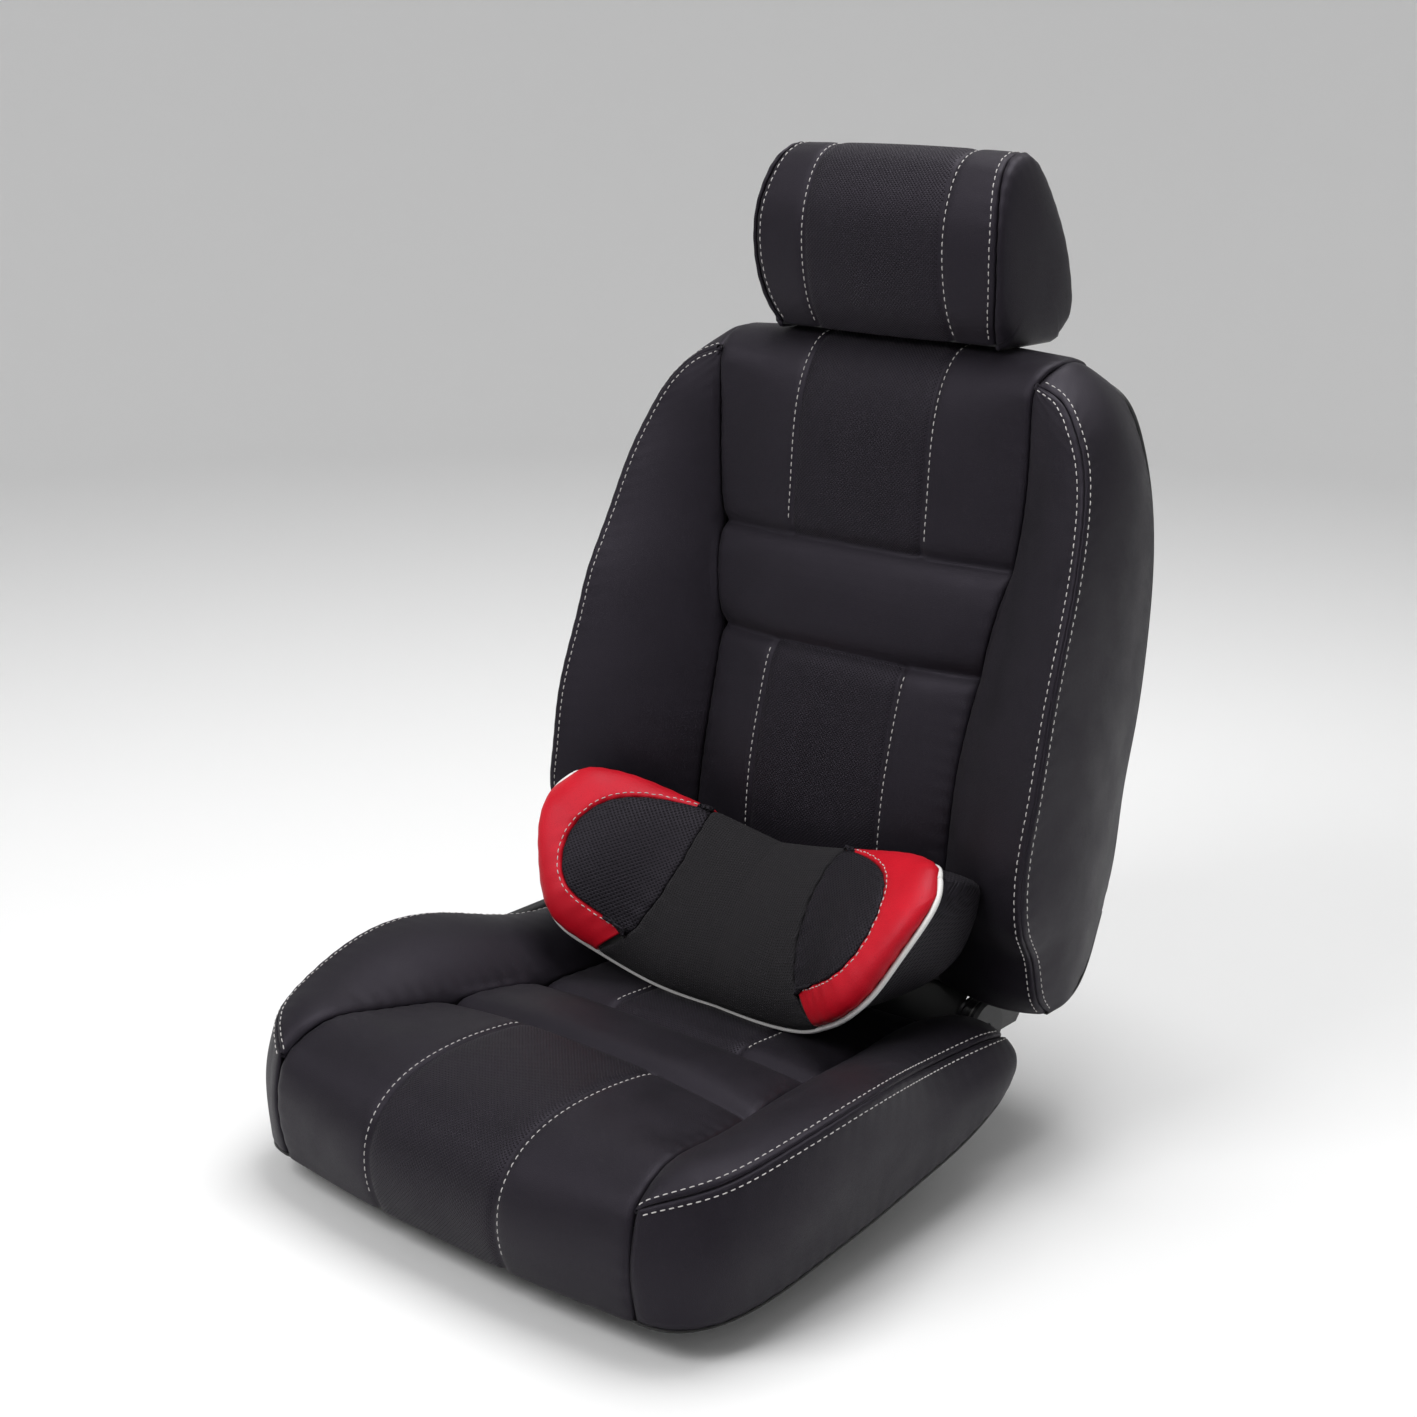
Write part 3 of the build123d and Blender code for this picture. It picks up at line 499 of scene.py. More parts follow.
def moulded(name, colour, rough, grain=900.0):
    """Textured moulded plastic or rubber."""
    n = Nodes(name)
    place = n.add("ShaderNodeTexCoord").outputs["Object"]
    fine, broad = n.noise(place, grain, 2.0), n.noise(place, 30.0, 3.0)
    n.link(n.mix(n.span(broad, 0.3, 0.7), colour, tuple(c * 1.5 for c in colour)),
           n.shader.inputs["Base Color"])
    n.link(n.span(broad, 0.3, 0.7, rough - 0.05, rough + 0.08), n.shader.inputs["Roughness"])
    n.link(n.bump(fine, 0.35, 0.0002), n.shader.inputs["Normal"])
    return n.material


def metal(name, colour, rough, streak=0.15, metallic=1.0):
    """Drawn, plated or painted metal with faint streaks and handling marks."""
    n = Nodes(name)
    place = n.add("ShaderNodeTexCoord").outputs["Object"]
    stretch = n.add("ShaderNodeMapping")
    stretch.inputs["Scale"].default_value = (60, 8, 60)
    n.link(place, stretch.inputs["Vector"])
    streaks, broad = n.noise(stretch.outputs[0], 12.0, 4.0), n.noise(place, 24.0, 4.0)
    n.link(n.mix(n.span(broad, 0.35, 0.7), colour, tuple(c * 0.75 for c in colour)),
           n.shader.inputs["Base Color"])
    n.link(n.span(streaks, 0.3, 0.7, rough - streak / 2, rough + streak / 2),
           n.shader.inputs["Roughness"])
    n.link(n.bump(streaks, 0.08, 0.0003), n.shader.inputs["Normal"])
    n.shader.inputs["Metallic"].default_value = metallic
    return n.material


def cloth(name, colour, light, scale=500.0):
    """Woven or non-woven backing cloth, thread and piping."""
    n = Nodes(name)
    place = n.add("ShaderNodeTexCoord").outputs["Object"]
    fibre, broad = n.noise(place, scale, 4.0, 0.7), n.noise(place, 40.0, 3.0)
    n.link(n.mix(n.span(broad, 0.3, 0.7), colour, light), n.shader.inputs["Base Color"])
    n.link(n.bump(fibre, 0.5, 0.0003), n.shader.inputs["Normal"])
    n.shader.inputs["Roughness"].default_value = 0.8
    n.shader.inputs["Sheen Weight"].default_value = 0.3
    return n.material


BLACK, GREY = (0.0056, 0.0045, 0.0068), (0.0088, 0.0072, 0.0105)
LEATHER = leather("black_leather", BLACK, GREY, 0.5)
PERFORATED = leather("perforated_leather", BLACK, GREY, 0.47, holes=(0.0036, 0.0007))
LOBE = leather("pillow_perforated", (0.006, 0.0052, 0.0068), (0.0095, 0.0085, 0.0105), 0.55,
               holes=(0.0042, 0.0009))
RED = leather("red_leather", (0.50, 0.0015, 0.011), (0.60, 0.003, 0.015), 0.45)
MESH = knit("black_mesh", (0.0015, 0.0013, 0.0017), (0.0125, 0.011, 0.0135), 0.0052)
THREAD = cloth("white_thread", (0.46, 0.44, 0.43), (0.58, 0.56, 0.55), 1500.0)
PIPING = leather("white_piping", (0.80, 0.79, 0.77), (0.88, 0.87, 0.86), 0.4)
LINING = cloth("black_lining", (0.003, 0.003, 0.003), (0.006, 0.006, 0.006))
FOAM = cloth("foam", (0.62, 0.56, 0.42), (0.74, 0.68, 0.54), 300.0)
PLASTIC = moulded("black_plastic", (0.012, 0.012, 0.013), 0.5)
CHROME = metal("chrome", (0.72, 0.72, 0.73), 0.12, 0.08)
# Spring steel kept darker than bare steel so the recliner bolts in the gap between cushion and back
# show black: painted shade over the steel's own colour.
SPRING = metal("spring_steel", (0.10, 0.10, 0.105), 0.4)
ZINC = metal("zinc_steel", (0.22, 0.22, 0.21), 0.4)
PAINT = metal("frame_paint", (0.012, 0.012, 0.013), 0.38, 0.12, 0.0)
FINISHES = {
    "foam": FOAM, "black_leather": LEATHER, "black_mesh": MESH, "red_leather": RED,
    "white_piping": PIPING, "black_plastic": PLASTIC, "chrome": CHROME, "spring_steel": SPRING,
    "zinc_steel": ZINC, "frame_steel": PAINT,
}
for part in frame["record"]["subparts"]:
    for socket in frame["nodes"][part["node"]].material_slots:
        socket.material = FINISHES[part["material_slot"]]

# ---- shared upholstery
SIDES = (("left", 1), ("right", -1))
CENTRE_COLUMNS = 141
BOLSTER_X = 225  # x inside the bolsters
CENTRE_LINES = (-72, -24, 24, 72)  # x of the lines between a centre panel's two seams


def sided(grid, side):
    """A left grid, or its mirror image."""
    return grid * np.array([side, 1, 1])


def seam_pad(grid, inside, edges, width=SEAM_WIDTH, depth=SEAM_DEPTH, size=EDGE_GATHER):
    """Rolls a panel's sewn edges under and gathers it a little beside them."""
    away = edge_distance(grid, edges)
    return bend_rows(grid, inside, roll(away, width, depth) + pucker(grid, away, size))


def centre_grid(seam, middle, rows):
    """A centre panel between its two seams, through the lines of its middle."""
    lines = [[(x, y, z) for y, z in middle] for x in CENTRE_LINES]
    return strip([rail(line, rows) for line in [flip(seam), *lines, seam]], CENTRE_COLUMNS)


def centre_relief(grid, axis, creases, on_show):
    """Relief of a centre panel, and where its plain raised band is.

    On the side that shows, two creases bound the band and the long seams stop at it. Elsewhere
    there are only the long seams."""
    at, x = grid[..., axis], grid[..., 0]
    low, high = creases
    between = (at > low) & (at < high)
    drop = sum(groove(at - place, CREASE_WIDTH, CREASE_DEPTH) for place in creases)
    for line in (-PANEL_LINE, PANEL_LINE):
        drop = drop + np.where(between, 0, groove(x - line, LONG_WIDTH, LONG_DEPTH))
    crown = np.sin(np.pi * np.clip((at - low) / (high - low), 0, 1)) ** 0.7
    seams_only = groove(np.abs(x) - PANEL_LINE, LONG_WIDTH, LONG_DEPTH)
    return np.where(on_show, drop + BAND_SWELL * crown, seams_only), between & on_show


def long_rows(grid, inside, chosen):
    """Stitch rows just outside both long seams of a centre panel, over the chosen rows."""
    rows, up = [], normals(grid, inside)
    for side in (-1, 1):
        place = side * (PANEL_LINE + LONG_OFFSET)
        line, normal = [], []
        for i in np.flatnonzero(chosen):
            x = grid[i, :, 0]
            line.append([np.interp(place, x, grid[i, :, k]) for k in range(3)])
            normal.append([np.interp(place, x, up[i, :, k]) for k in range(3)])
        rows.append((np.array(line), np.array(normal)))
    return rows


def perforate(piece, grid, between):
    """Punched leather on the faces between the long seams, except on the plain band."""
    piece.data.materials.append(PERFORATED)
    middle = np.abs(grid[..., 0]) < PANEL_LINE
    punched = middle & ~between
    mask = punched[:-1, :-1] & punched[1:, :-1] & punched[:-1, 1:] & punched[1:, 1:]
    piece.data.polygons.foreach_set("material_index", mask.ravel().astype(np.int32))


def centre_panel(name, body, grid, axis, creases, on_show, inside):
    """A centre panel with creases, seams and punched leather: the piece and its surface."""
    relief, band = centre_relief(grid, axis, creases, on_show)
    away = edge_distance(grid, "ab")
    relief = relief + roll(away, CENTRE_WIDTH, CENTRE_DEPTH) + pucker(grid, away, CENTRE_GATHER)
    surface = bend_rows(settle(grid, inside), inside, relief)
    piece = panel(name, surface, inside, LEATHER, body, centred=True)
    perforate(piece, surface, band)
    return piece, surface


def bolster(names, tag, side, body, inside, centre, seam, lines, rows, across, crown, sewn):
    """A bolster's front and side panels, drawn together along their sewn edge; returns the front.

    seam is the line it shares with the centre panel, whose surface is given. lines are its sewn
    edge and the two behind it. crown is the front's bulge as a share of its width."""
    front = sided(strip([rail(seam, rows), rail(lines[0], rows)], across), side)
    width = np.linalg.norm(front[:, -1] - front[:, 0], axis=1)
    front = seam_pad(settle(swell(front, inside, crown * width), inside), inside, "ab")
    front = meet(front, centre[:, -1 if side > 0 else 0], "a")
    flank = sided(strip([rail(line, rows) for line in lines], across), side)
    flank = seam_pad(settle(flank, inside), inside, sewn)
    fold = 0.5 * (front[:, -1] + flank[:, 0])
    front, flank = meet(front, fold, "b"), meet(flank, fold, "a")
    face_name, wall_name, stitch_name = names
    cover = panel(f"{face_name}_{tag}", front, inside, LEATHER, body)
    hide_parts(f"{body}_bolster_foam_{tag}", f"{body}_bolster_cover_{tag}")
    wall = panel(f"{wall_name}_{tag}", flank, inside, LEATHER, body)
    stitches(f"{stitch_name}_{tag}", [row_at(front, inside, STITCH_OFFSET, "b"),
                                      row_at(flank, inside, STITCH_OFFSET, "a")], body)
    return front


# ---- cushion
CUSHION_IN = (0, 0, 60)
CUSHION_ROWS, SHOULDER_ROWS, HEM_POINTS = 240, 220, 160
CUSHION_FACE = 100  # z above which the centre panel shows
CUSHION_STITCHED = (4, 226)  # rows between which it is stitched
SHOULDER_CROWN, SHOULDER_COLUMNS = 0.13, 61
PAN_X, PAN_FRONT, PAN_REAR, PAN_TOP = 207, -206, 207, 93  # the linings end against the frame here
cushion_seam = [
    (203, -229, 29), (205, -235, 60), (205, -236, 95), (203, -228, 122), (200, -206, 138),
    (197, -180, 145), (192, -139, 140), (183, -87, 131), (174, -44, 124), (160, 45, 114),
    (154, 116, 112), (151, 190, 110), (150, 214, 104), (150, 215, 92),
]
cushion_middle = [
    (-238, 28), (-246, 50), (-249, 73), (-246, 96), (-233, 118), (-205, 135), (-158, 144),
    (-101, 142), (-50, 135), (5, 125), (50, 116), (130, 110), (190, 108), (212, 103), (214, 92),
]
cushion_edge = [
    (206, -228, 127), (232, -210, 137), (251, -188, 144), (262, -162, 150), (270, -131, 157),
    (277, -92, 164), (280, -46, 168), (273, 11, 163), (258, 60, 150), (249, 100, 141),
    (247, 139, 137), (248, 175, 134), (243, 205, 125),
]
cushion_flank = [
    (206, -237, 80), (233, -222, 84), (256, -203, 88), (270, -170, 92), (277, -125, 98),
    (279, -60, 104), (278, 0, 106), (274, 55, 106), (271, 110, 107), (269, 160, 108),
    (264, 190, 110), (255, 205, 114), (243, 209, 119),
]
cushion_hem = [
    (204, -229, 29), (228, -222, 28), (249, -200, 28), (261, -168, 30), (266, -120, 34),
    (266, -60, 39), (264, 0, 43), (263, 50, 49), (263, 122, 61), (262, 163, 73),
    (259, 190, 85), (252, 204, 97), (240, 208, 106),
]
cushion_grid = centre_grid(cushion_seam, cushion_middle, CUSHION_ROWS)
seat_insert, cushion = centre_panel("cushion_centre", "seat", cushion_grid, 1, CUSHION_CREASES,
                                    cushion_grid[..., 2] > CUSHION_FACE, CUSHION_IN)
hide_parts("seat_foam", "seat_cover")
cushion_y, cushion_row = cushion[:, CENTRE_COLUMNS // 2, 1], np.arange(CUSHION_ROWS)
front_rows = (cushion_y < CUSHION_CREASES[0] - CREASE_GAP) & (cushion_row > CUSHION_STITCHED[0])
rear_rows = (cushion_y > CUSHION_CREASES[1] + CREASE_GAP) & (cushion_row < CUSHION_STITCHED[1])
stitches("cushion_stitches", long_rows(cushion, CUSHION_IN, front_rows)
         + long_rows(cushion, CUSHION_IN, rear_rows), "seat")

for tag, side in SIDES:
    inside = (BOLSTER_X * side, 0, 90)
    shoulder = bolster(("cushion_shoulder", "cushion_side", "cushion_edge_stitches"), tag, side,
                       "seat", inside, cushion, cushion_seam[3:-1],
                       (cushion_edge, cushion_flank, cushion_hem), SHOULDER_ROWS,
                       SHOULDER_COLUMNS, SHOULDER_CROWN, "abc")
    foot = shoulder[-1].copy()
    foot[:, 0] = np.clip(foot[:, 0], -PAN_X, PAN_X)
    foot[:, 1:] = PAN_REAR, PAN_TOP - 1
    panel(f"cushion_rear_{tag}", strip([shoulder[-1], foot], 8), inside, LINING, "seat",
          LINING_THICKNESS)

hem = np.concatenate([rail(flip(cushion_hem), HEM_POINTS)[::-1], cushion[0, 1:-1],
                      rail(cushion_hem, HEM_POINTS)])
lip = hem * np.array([0.99, 0.99, 1.0]) - np.array([0, 0, 1.5])
under = np.stack([np.clip(hem[:, 0], -PAN_X, PAN_X), np.maximum(hem[:, 1], PAN_FRONT),
                  hem[:, 2] + 1], axis=1)
inner_top = np.stack([under[:, 0], under[:, 1], np.maximum(under[:, 2], PAN_TOP)], axis=1)
skirt = np.stack([hem, lip, 0.5 * (lip + under), under, 0.5 * (under + inner_top), inner_top],
                 axis=1)
panel("cushion_skirt", skirt, (0, 0, 300), LINING, "seat", LINING_THICKNESS)
sheet_x, sheet_y = np.meshgrid(np.linspace(-PAN_X, PAN_X, 40), np.linspace(PAN_FRONT, PAN_REAR, 40))
sag = 91.6 + 0.5 * np.sin(sheet_x / 23.0) * np.sin(sheet_y / 31.0)
panel("cushion_underside", np.stack([sheet_x, sheet_y, sag], axis=2), (0, 0, 300), LINING, "seat",
      SHEET_THICKNESS)

# ---- back
BACK_IN = (0, 330, 400)
BACK_ROWS, RIM_POINTS = 280, 160
BACK_FACE = 335  # y in front of which the centre panel shows
BACK_STITCHED = (6, 200)  # rows between which its lower part is stitched
WING_CROWN, WING_COLUMNS = 0.08, 81
back_seam = [
    (147, 240, 138), (147, 243, 200), (147, 251, 269), (146, 260, 318), (147, 272, 362),
    (151, 286, 411), (161, 298, 473), (167, 306, 507), (174, 312, 571), (175, 313, 632),
    (176, 317, 670), (180, 335, 684), (184, 360, 688), (184, 385, 684), (182, 402, 672),
]
back_middle = [
    (238, 138), (237, 200), (239, 260), (246, 310), (256, 350), (266, 385), (276, 418), (287, 460),
    (296, 505), (301, 550), (305, 600), (314, 645), (326, 670), (343, 687), (362, 692), (385, 691),
    (403, 682),
]
back_edge = [
    (264, 240, 139), (268, 218, 160), (270, 203, 200), (276, 178, 232), (274, 175, 279),
    (275, 186, 338), (271, 212, 420), (270, 223, 452), (267, 239, 487), (264, 252, 515),
    (260, 265, 547), (254, 278, 578), (247, 288, 601), (239, 295, 620), (225, 303, 642),
    (203, 314, 662), (176, 318, 671),
]
back_flank = [
    (266, 262, 140), (270, 274, 189), (273, 277, 228), (273, 287, 319), (268, 312, 406),
    (264, 331, 473), (261, 346, 541), (254, 352, 597), (240, 352, 638), (214, 358, 668),
    (184, 360, 688),
]
back_rear = [
    (262, 285, 141), (255, 322, 160), (248, 345, 178), (242, 376, 225), (243, 388, 300),
    (245, 400, 360), (246, 410, 430), (246, 414, 500), (243, 412, 560), (235, 400, 616),
    (215, 398, 655), (182, 402, 672),
]
rear_rim = [
    (242, 364, 192), (242, 378, 225), (243, 390, 300), (245, 402, 360), (246, 412, 430),
    (246, 416, 500), (243, 414, 560), (235, 406, 616), (215, 404, 655), (182, 403, 672),
]
back_grid = centre_grid(back_seam, back_middle, BACK_ROWS)
back_insert, back = centre_panel("back_centre", "back", back_grid, 2, BACK_CREASES,
                                 back_grid[..., 1] < BACK_FACE, BACK_IN)
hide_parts("back_foam", "back_cover")
back_z, back_row = back[:, CENTRE_COLUMNS // 2, 2], np.arange(BACK_ROWS)
upper_rows = back_z > BACK_CREASES[1] + CREASE_GAP
lower_rows = (back_z < BACK_CREASES[0] - CREASE_GAP) & (back_row > BACK_STITCHED[0]) \
    & (back_row < BACK_STITCHED[1])
stitches("back_stitches", long_rows(back, BACK_IN, upper_rows)
         + long_rows(back, BACK_IN, lower_rows), "back")

for tag, side in SIDES:
    bolster(("back_wing", "back_side", "back_edge_stitches"), tag, side, "back",
            (BOLSTER_X * side, 340, 400), back, back_seam[:11], (back_edge, back_flank, back_rear),
            BACK_ROWS, WING_COLUMNS, WING_CROWN, "abd")

rim = rail(rear_rim, RIM_POINTS)
middle_line = np.stack([0 * rim[:, 0], rim[:, 1] + 7,
                        rim[:, 2] + 8 * np.linspace(-0.6, 1, RIM_POINTS)], axis=1)
half_line = 0.5 * rim + 0.5 * middle_line + np.array([0, 2.5, 0])
shell = strip([sided(rim, -1), sided(half_line, -1), middle_line, half_line, rim], 61)
rear_panel = panel("back_rear", seam_pad(shell, BACK_IN, "abcd", 8, 3, 0), BACK_IN, PLASTIC, "back")
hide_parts("back_rear_panel")
side_line = rail([(264, 240, 138), (262, 285, 141), (255, 322, 160), (248, 345, 178),
                  (242, 363, 191)], 40)
mid_line = rail([(0, 239, 138), (0, 285, 142), (0, 322, 160), (0, 345, 177), (0, 369, 188)], 40)
between_line = mid_line * 0.5 + side_line * 0.5
bottom = strip([sided(side_line, -1), sided(between_line, -1), mid_line, between_line, side_line],
               61)
panel("back_underside", bottom, (0, 300, 400), LINING, "back", LINING_THICKNESS)

# A black lining sheet that closes the gap between cushion and back, in front of the recliner's rod:
# painted shade standing in for the dark gap there.
shade_sheet_x, shade_sheet_share = np.meshgrid(np.linspace(-181, 181, 60), np.linspace(0, 1, 40))
shade_sheet_y = 213 + 37 * shade_sheet_share + 0.8 * np.sin(shade_sheet_x / 19.0 + 3 * shade_sheet_share)
shade_sheet_z = 93 + 49 * shade_sheet_share + 5 * np.sin(np.pi * shade_sheet_share)
shade_sheet = panel("gap_shade_sheet", np.stack([shade_sheet_x, shade_sheet_y, shade_sheet_z], axis=2), (0, 330, 60), LINING, None,
             SHEET_THICKNESS)
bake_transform(shade_sheet)

# ---- headrest
HEAD_IN = (0, 375, 775)
HEAD_WIDTH, HEAD_CROWN = 264, 2.5  # its width, and how much its middle stands out past its ends
HEAD_ROWS, HEAD_STITCHED = 200, 196  # rows round the wrap, and up to where it is stitched
END_CENTRE, END_REACH = np.array([378.0, 772.0]), 138  # y and z of the ends' middle, and its x
head_loop = [  # half width, y, z from the lower front edge over the top
    (119, 338, 694.5), (124, 326, 713), (130, 316, 743), (132, 312, 773), (131, 314, 803),
    (126, 324, 832), (122, 339, 852), (120, 361, 861), (120, 375, 860), (122, 392, 845),
    (124, 405, 825), (129, 425, 785), (130, 438, 745), (126, 441, 709), (119, 430, 693.5),
]
loop = rail(head_loop, HEAD_ROWS)
head_grid = strip([loop * [share, 1, 1] for share in (-1, -0.6, -0.2, 0.2, 0.6, 1)], 121)
head_away = edge_distance(head_grid, "ab")
head_relief = (groove(np.abs(head_grid[..., 0]) - PANEL_LINE - 2, 4.0, 2.4) + roll(head_away, 8, 3)
               + pucker(head_grid, head_away, EDGE_GATHER)
               + HEAD_CROWN * np.cos(np.pi * head_grid[..., 0] / HEAD_WIDTH) - HEAD_CROWN)
head = bend_rows(head_grid, HEAD_IN, head_relief)
wrap = panel("headrest_wrap", head, HEAD_IN, LEATHER, "headrest", centred=True)
perforate(wrap, head, np.zeros(head.shape[:2], bool))
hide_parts("headrest_foam", "headrest_cover")
stitches("headrest_stitches", long_rows(head, HEAD_IN, np.arange(HEAD_ROWS) < HEAD_STITCHED)
         + [row_at(head, HEAD_IN, STITCH_OFFSET, "a"), row_at(head, HEAD_IN, STITCH_OFFSET, "b")],
         "headrest")


def cap(name, ring, centre, reach, body, material, rings=26, shape=2.2):
    """A domed end on a closed loop of points; reach is the x that its middle stands out to."""
    verts, faces, uvs = [], [], []
    count, soft = len(ring), ring
    for _ in range(250):
        soft = 0.5 * soft + 0.25 * (np.roll(soft, 1, axis=0) + np.roll(soft, -1, axis=0))
    for share in np.linspace(1, 0.03, rings):
        sharp = share ** 6
        for point in sharp * ring + (1 - sharp) * (soft + 0.06 * (soft - soft.mean(axis=0))):
            out = point[0] + (reach - point[0]) * (1 - share ** shape) ** (1 / shape)
            flat = centre + (point[1:] - centre) * share
            verts.append((out, *flat))
            uvs.append(flat)
    for k in range(rings - 1):
        for i in range(count):
            a, b = k * count + i, k * count + (i + 1) % count
            faces.append((a, b, b + count, a + count))
    faces.append(tuple((rings - 1) * count + i for i in range(count)))
    if reach < 0:
        faces = [face[::-1] for face in faces]
    piece = mesh_object(name, verts, faces, material, body, uvs)
    return thicken(piece, COVER_THICKNESS)


foot_line = np.linspace(loop[-1], loop[0], 40)[1:-1]
for tag, side in SIDES:
    ring = np.concatenate([head[:, -1 if side > 0 else 0], foot_line * [side, 1, 1]])
    end = cap(f"headrest_end_{tag}", ring, END_CENTRE, END_REACH * side, "headrest", LEATHER)
base = strip([foot_line * [share, 1, 1] for share in (-1, 0, 1)], 61) + np.array([0, 0, 0.5])
base_panel = panel("headrest_underside", base, HEAD_IN, PLASTIC, "headrest", LINING_THICKNESS)
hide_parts("headrest_base")

# ---- pillow
PILLOW_IN = (0, 190, 170)
BAND_WIDTH, BAND_END = 40.0, 13.0  # at the tip, and where it ends along the top
HALF_STEPS, RISE_STEPS = 200, 80  # of the front face, from the middle to a tip and from low to high
PATH_POINTS, SMOOTHINGS = 161, 450
UNDER_COVER_DEPTH, UNDER_COVER_TRIM = 3.2, 4  # below the face, and columns left off at the tips
PIPING_RADIUS = 2.6
FACE_RISE, FACE_FADE, FACE_ROUND = 46, 95, 2.05  # how far the face stands out, and its shape
LOW_LEAN, HIGH_LEAN = np.array([0, -0.9, 0.42]), np.array([0, -0.28, 0.96])  # and which way
pillow_bottom = [
    (0, 106, 115), (60, 104, 116), (98, 103, 121), (139, 85, 143), (169, 74, 164), (189, 81, 186),
    (202, 91, 210), (213, 102, 234), (220, 116, 254), (220, 131, 269), (212, 145, 279),
]
pillow_top = [
    (0, 206, 236), (40, 206, 242), (79, 203, 250), (125, 195, 261), (165, 183, 271),
    (190, 168, 278), (204, 156, 281), (212, 145, 279),
]
mesh_seam = [  # x, and share of the way down from the top
    (79, 0.0), (72, 0.2), (71, 0.4), (77, 0.6), (90, 0.78), (108, 0.9), (130, 1.0),
]


def both_ways(points):
    """A line given from the middle outwards, run from the right tip to the left one."""
    half = rail(points, HALF_STEPS + 1)
    return np.concatenate([half[:0:-1] * [-1, 1, 1], half])


pillow_low, pillow_high = both_ways(pillow_bottom), both_ways(pillow_top)
pillow_width = np.linalg.norm(pillow_high - pillow_low, axis=1)
flat_face = strip([pillow_low, pillow_high], RISE_STEPS + 1)
from_middle = np.abs(2 * np.linspace(0, 1, RISE_STEPS + 1) - 1)
rounding = (1 - from_middle ** FACE_ROUND) ** (1 / FACE_ROUND)
rise = FACE_RISE * (1 - np.exp(-(pillow_width / FACE_FADE) ** 1.5))
turn = np.linspace(0, 1, RISE_STEPS + 1)[:, None]
lean = (1 - turn) * LOW_LEAN + turn * HIGH_LEAN
face = flat_face + lean[None] * (rise[:, None] * rounding)[..., None]


def on_face(u, v):
    """Points of the pillow's front face: u from its right tip at -1 to its left one at 1, and v
    from its lower edge at 0 to its upper one at 1."""
    i = np.clip((np.asarray(u) + 1) * HALF_STEPS, 0, 2 * HALF_STEPS - 0.001)
    j = np.clip(np.asarray(v) * RISE_STEPS, 0, RISE_STEPS - 0.001)
    a, b = i.astype(int), j.astype(int)
    s, t = (i - a)[..., None], (j - b)[..., None]
    return ((1 - s) * (1 - t) * face[a, b] + s * (1 - t) * face[a + 1, b]
            + (1 - s) * t * face[a, b + 1] + s * t * face[a + 1, b + 1])


def even(path, count=PATH_POINTS):
    """Places on the face, (u, v), spaced evenly along a path of places."""
    path = np.asarray(path, float)
    dense = np.stack([np.interp(np.linspace(0, 1, 900), np.linspace(0, 1, len(path)), path[:, k])
                      for k in range(2)], axis=1)
    true = lengths(on_face(dense[:, 0], dense[:, 1]))
    at = np.linspace(0, true[-1], count)
    return np.stack([np.interp(at, true, dense[:, k]) for k in range(2)], axis=1)


# The seam between the mesh and a lobe, as places on the left half of the face.
seam_x, seam_share = zip(*mesh_seam)
half_width = np.interp(np.linspace(1, 0, 41), seam_share, seam_x)
half_u, seam_v = np.linspace(0, 1, HALF_STEPS + 1), np.linspace(0, 1, 41)
seam_u = np.interp(half_width, pillow_low[HALF_STEPS:, 0], half_u) * (1 - seam_v) \
    + np.interp(half_width, pillow_high[HALF_STEPS:, 0], half_u) * seam_v
seam_path = even(np.stack([seam_u, seam_v], axis=1), 61)
seam_long = lengths(on_face(seam_path[:, 0], seam_path[:, 1]))

# The red band's two edges, from the lower end of that seam round the tip to its upper end.
face_height = np.linalg.norm(np.diff(face, axis=1), axis=2).sum(axis=1)[HALF_STEPS:]
first_u = np.interp(BAND_WIDTH, seam_long, seam_path[:, 0])
last_u = np.interp(seam_long[-1] - BAND_END, seam_long, seam_path[:, 0])
mid_x = face[:, RISE_STEPS // 2, 0]
turn_u = half_u[np.flatnonzero(mid_x[HALF_STEPS:] < mid_x.max() - 0.9 * BAND_WIDTH)[-1]]


def from_edge(u, distance):
    """A distance from the pillow's edge as a share of the face's height at u."""
    return distance / np.interp(u, half_u, face_height)


outer = even([(u, 0) for u in np.linspace(seam_path[0, 0], 1, 60)]
             + [(u, 1) for u in np.linspace(1, seam_path[-1, 0], 60)][1:])
inner = even([(u, from_edge(u, BAND_WIDTH)) for u in np.linspace(first_u, turn_u, 50)]
             + [(u, 1 - from_edge(u, np.interp(u, (last_u, turn_u), (BAND_END, BAND_WIDTH))))
                for u in np.linspace(turn_u, last_u, 50)])
for _ in range(SMOOTHINGS):
    inner[1:-1] = 0.5 * (inner[:-2] + inner[2:])
beside_lobe = (seam_long > BAND_WIDTH) & (seam_long < seam_long[-1] - BAND_END)
lobe_side = even(np.concatenate([inner[:1], seam_path[beside_lobe], inner[-1:]]))


def between_paths(first, second, count, side):
    """A grid on the pillow's face between two paths, or its mirror image."""
    t = np.linspace(0, 1, count)[None, :, None]
    place = first[:, None] * (1 - t) + second[:, None] * t
    return sided(on_face(place[..., 0], place[..., 1]), side)


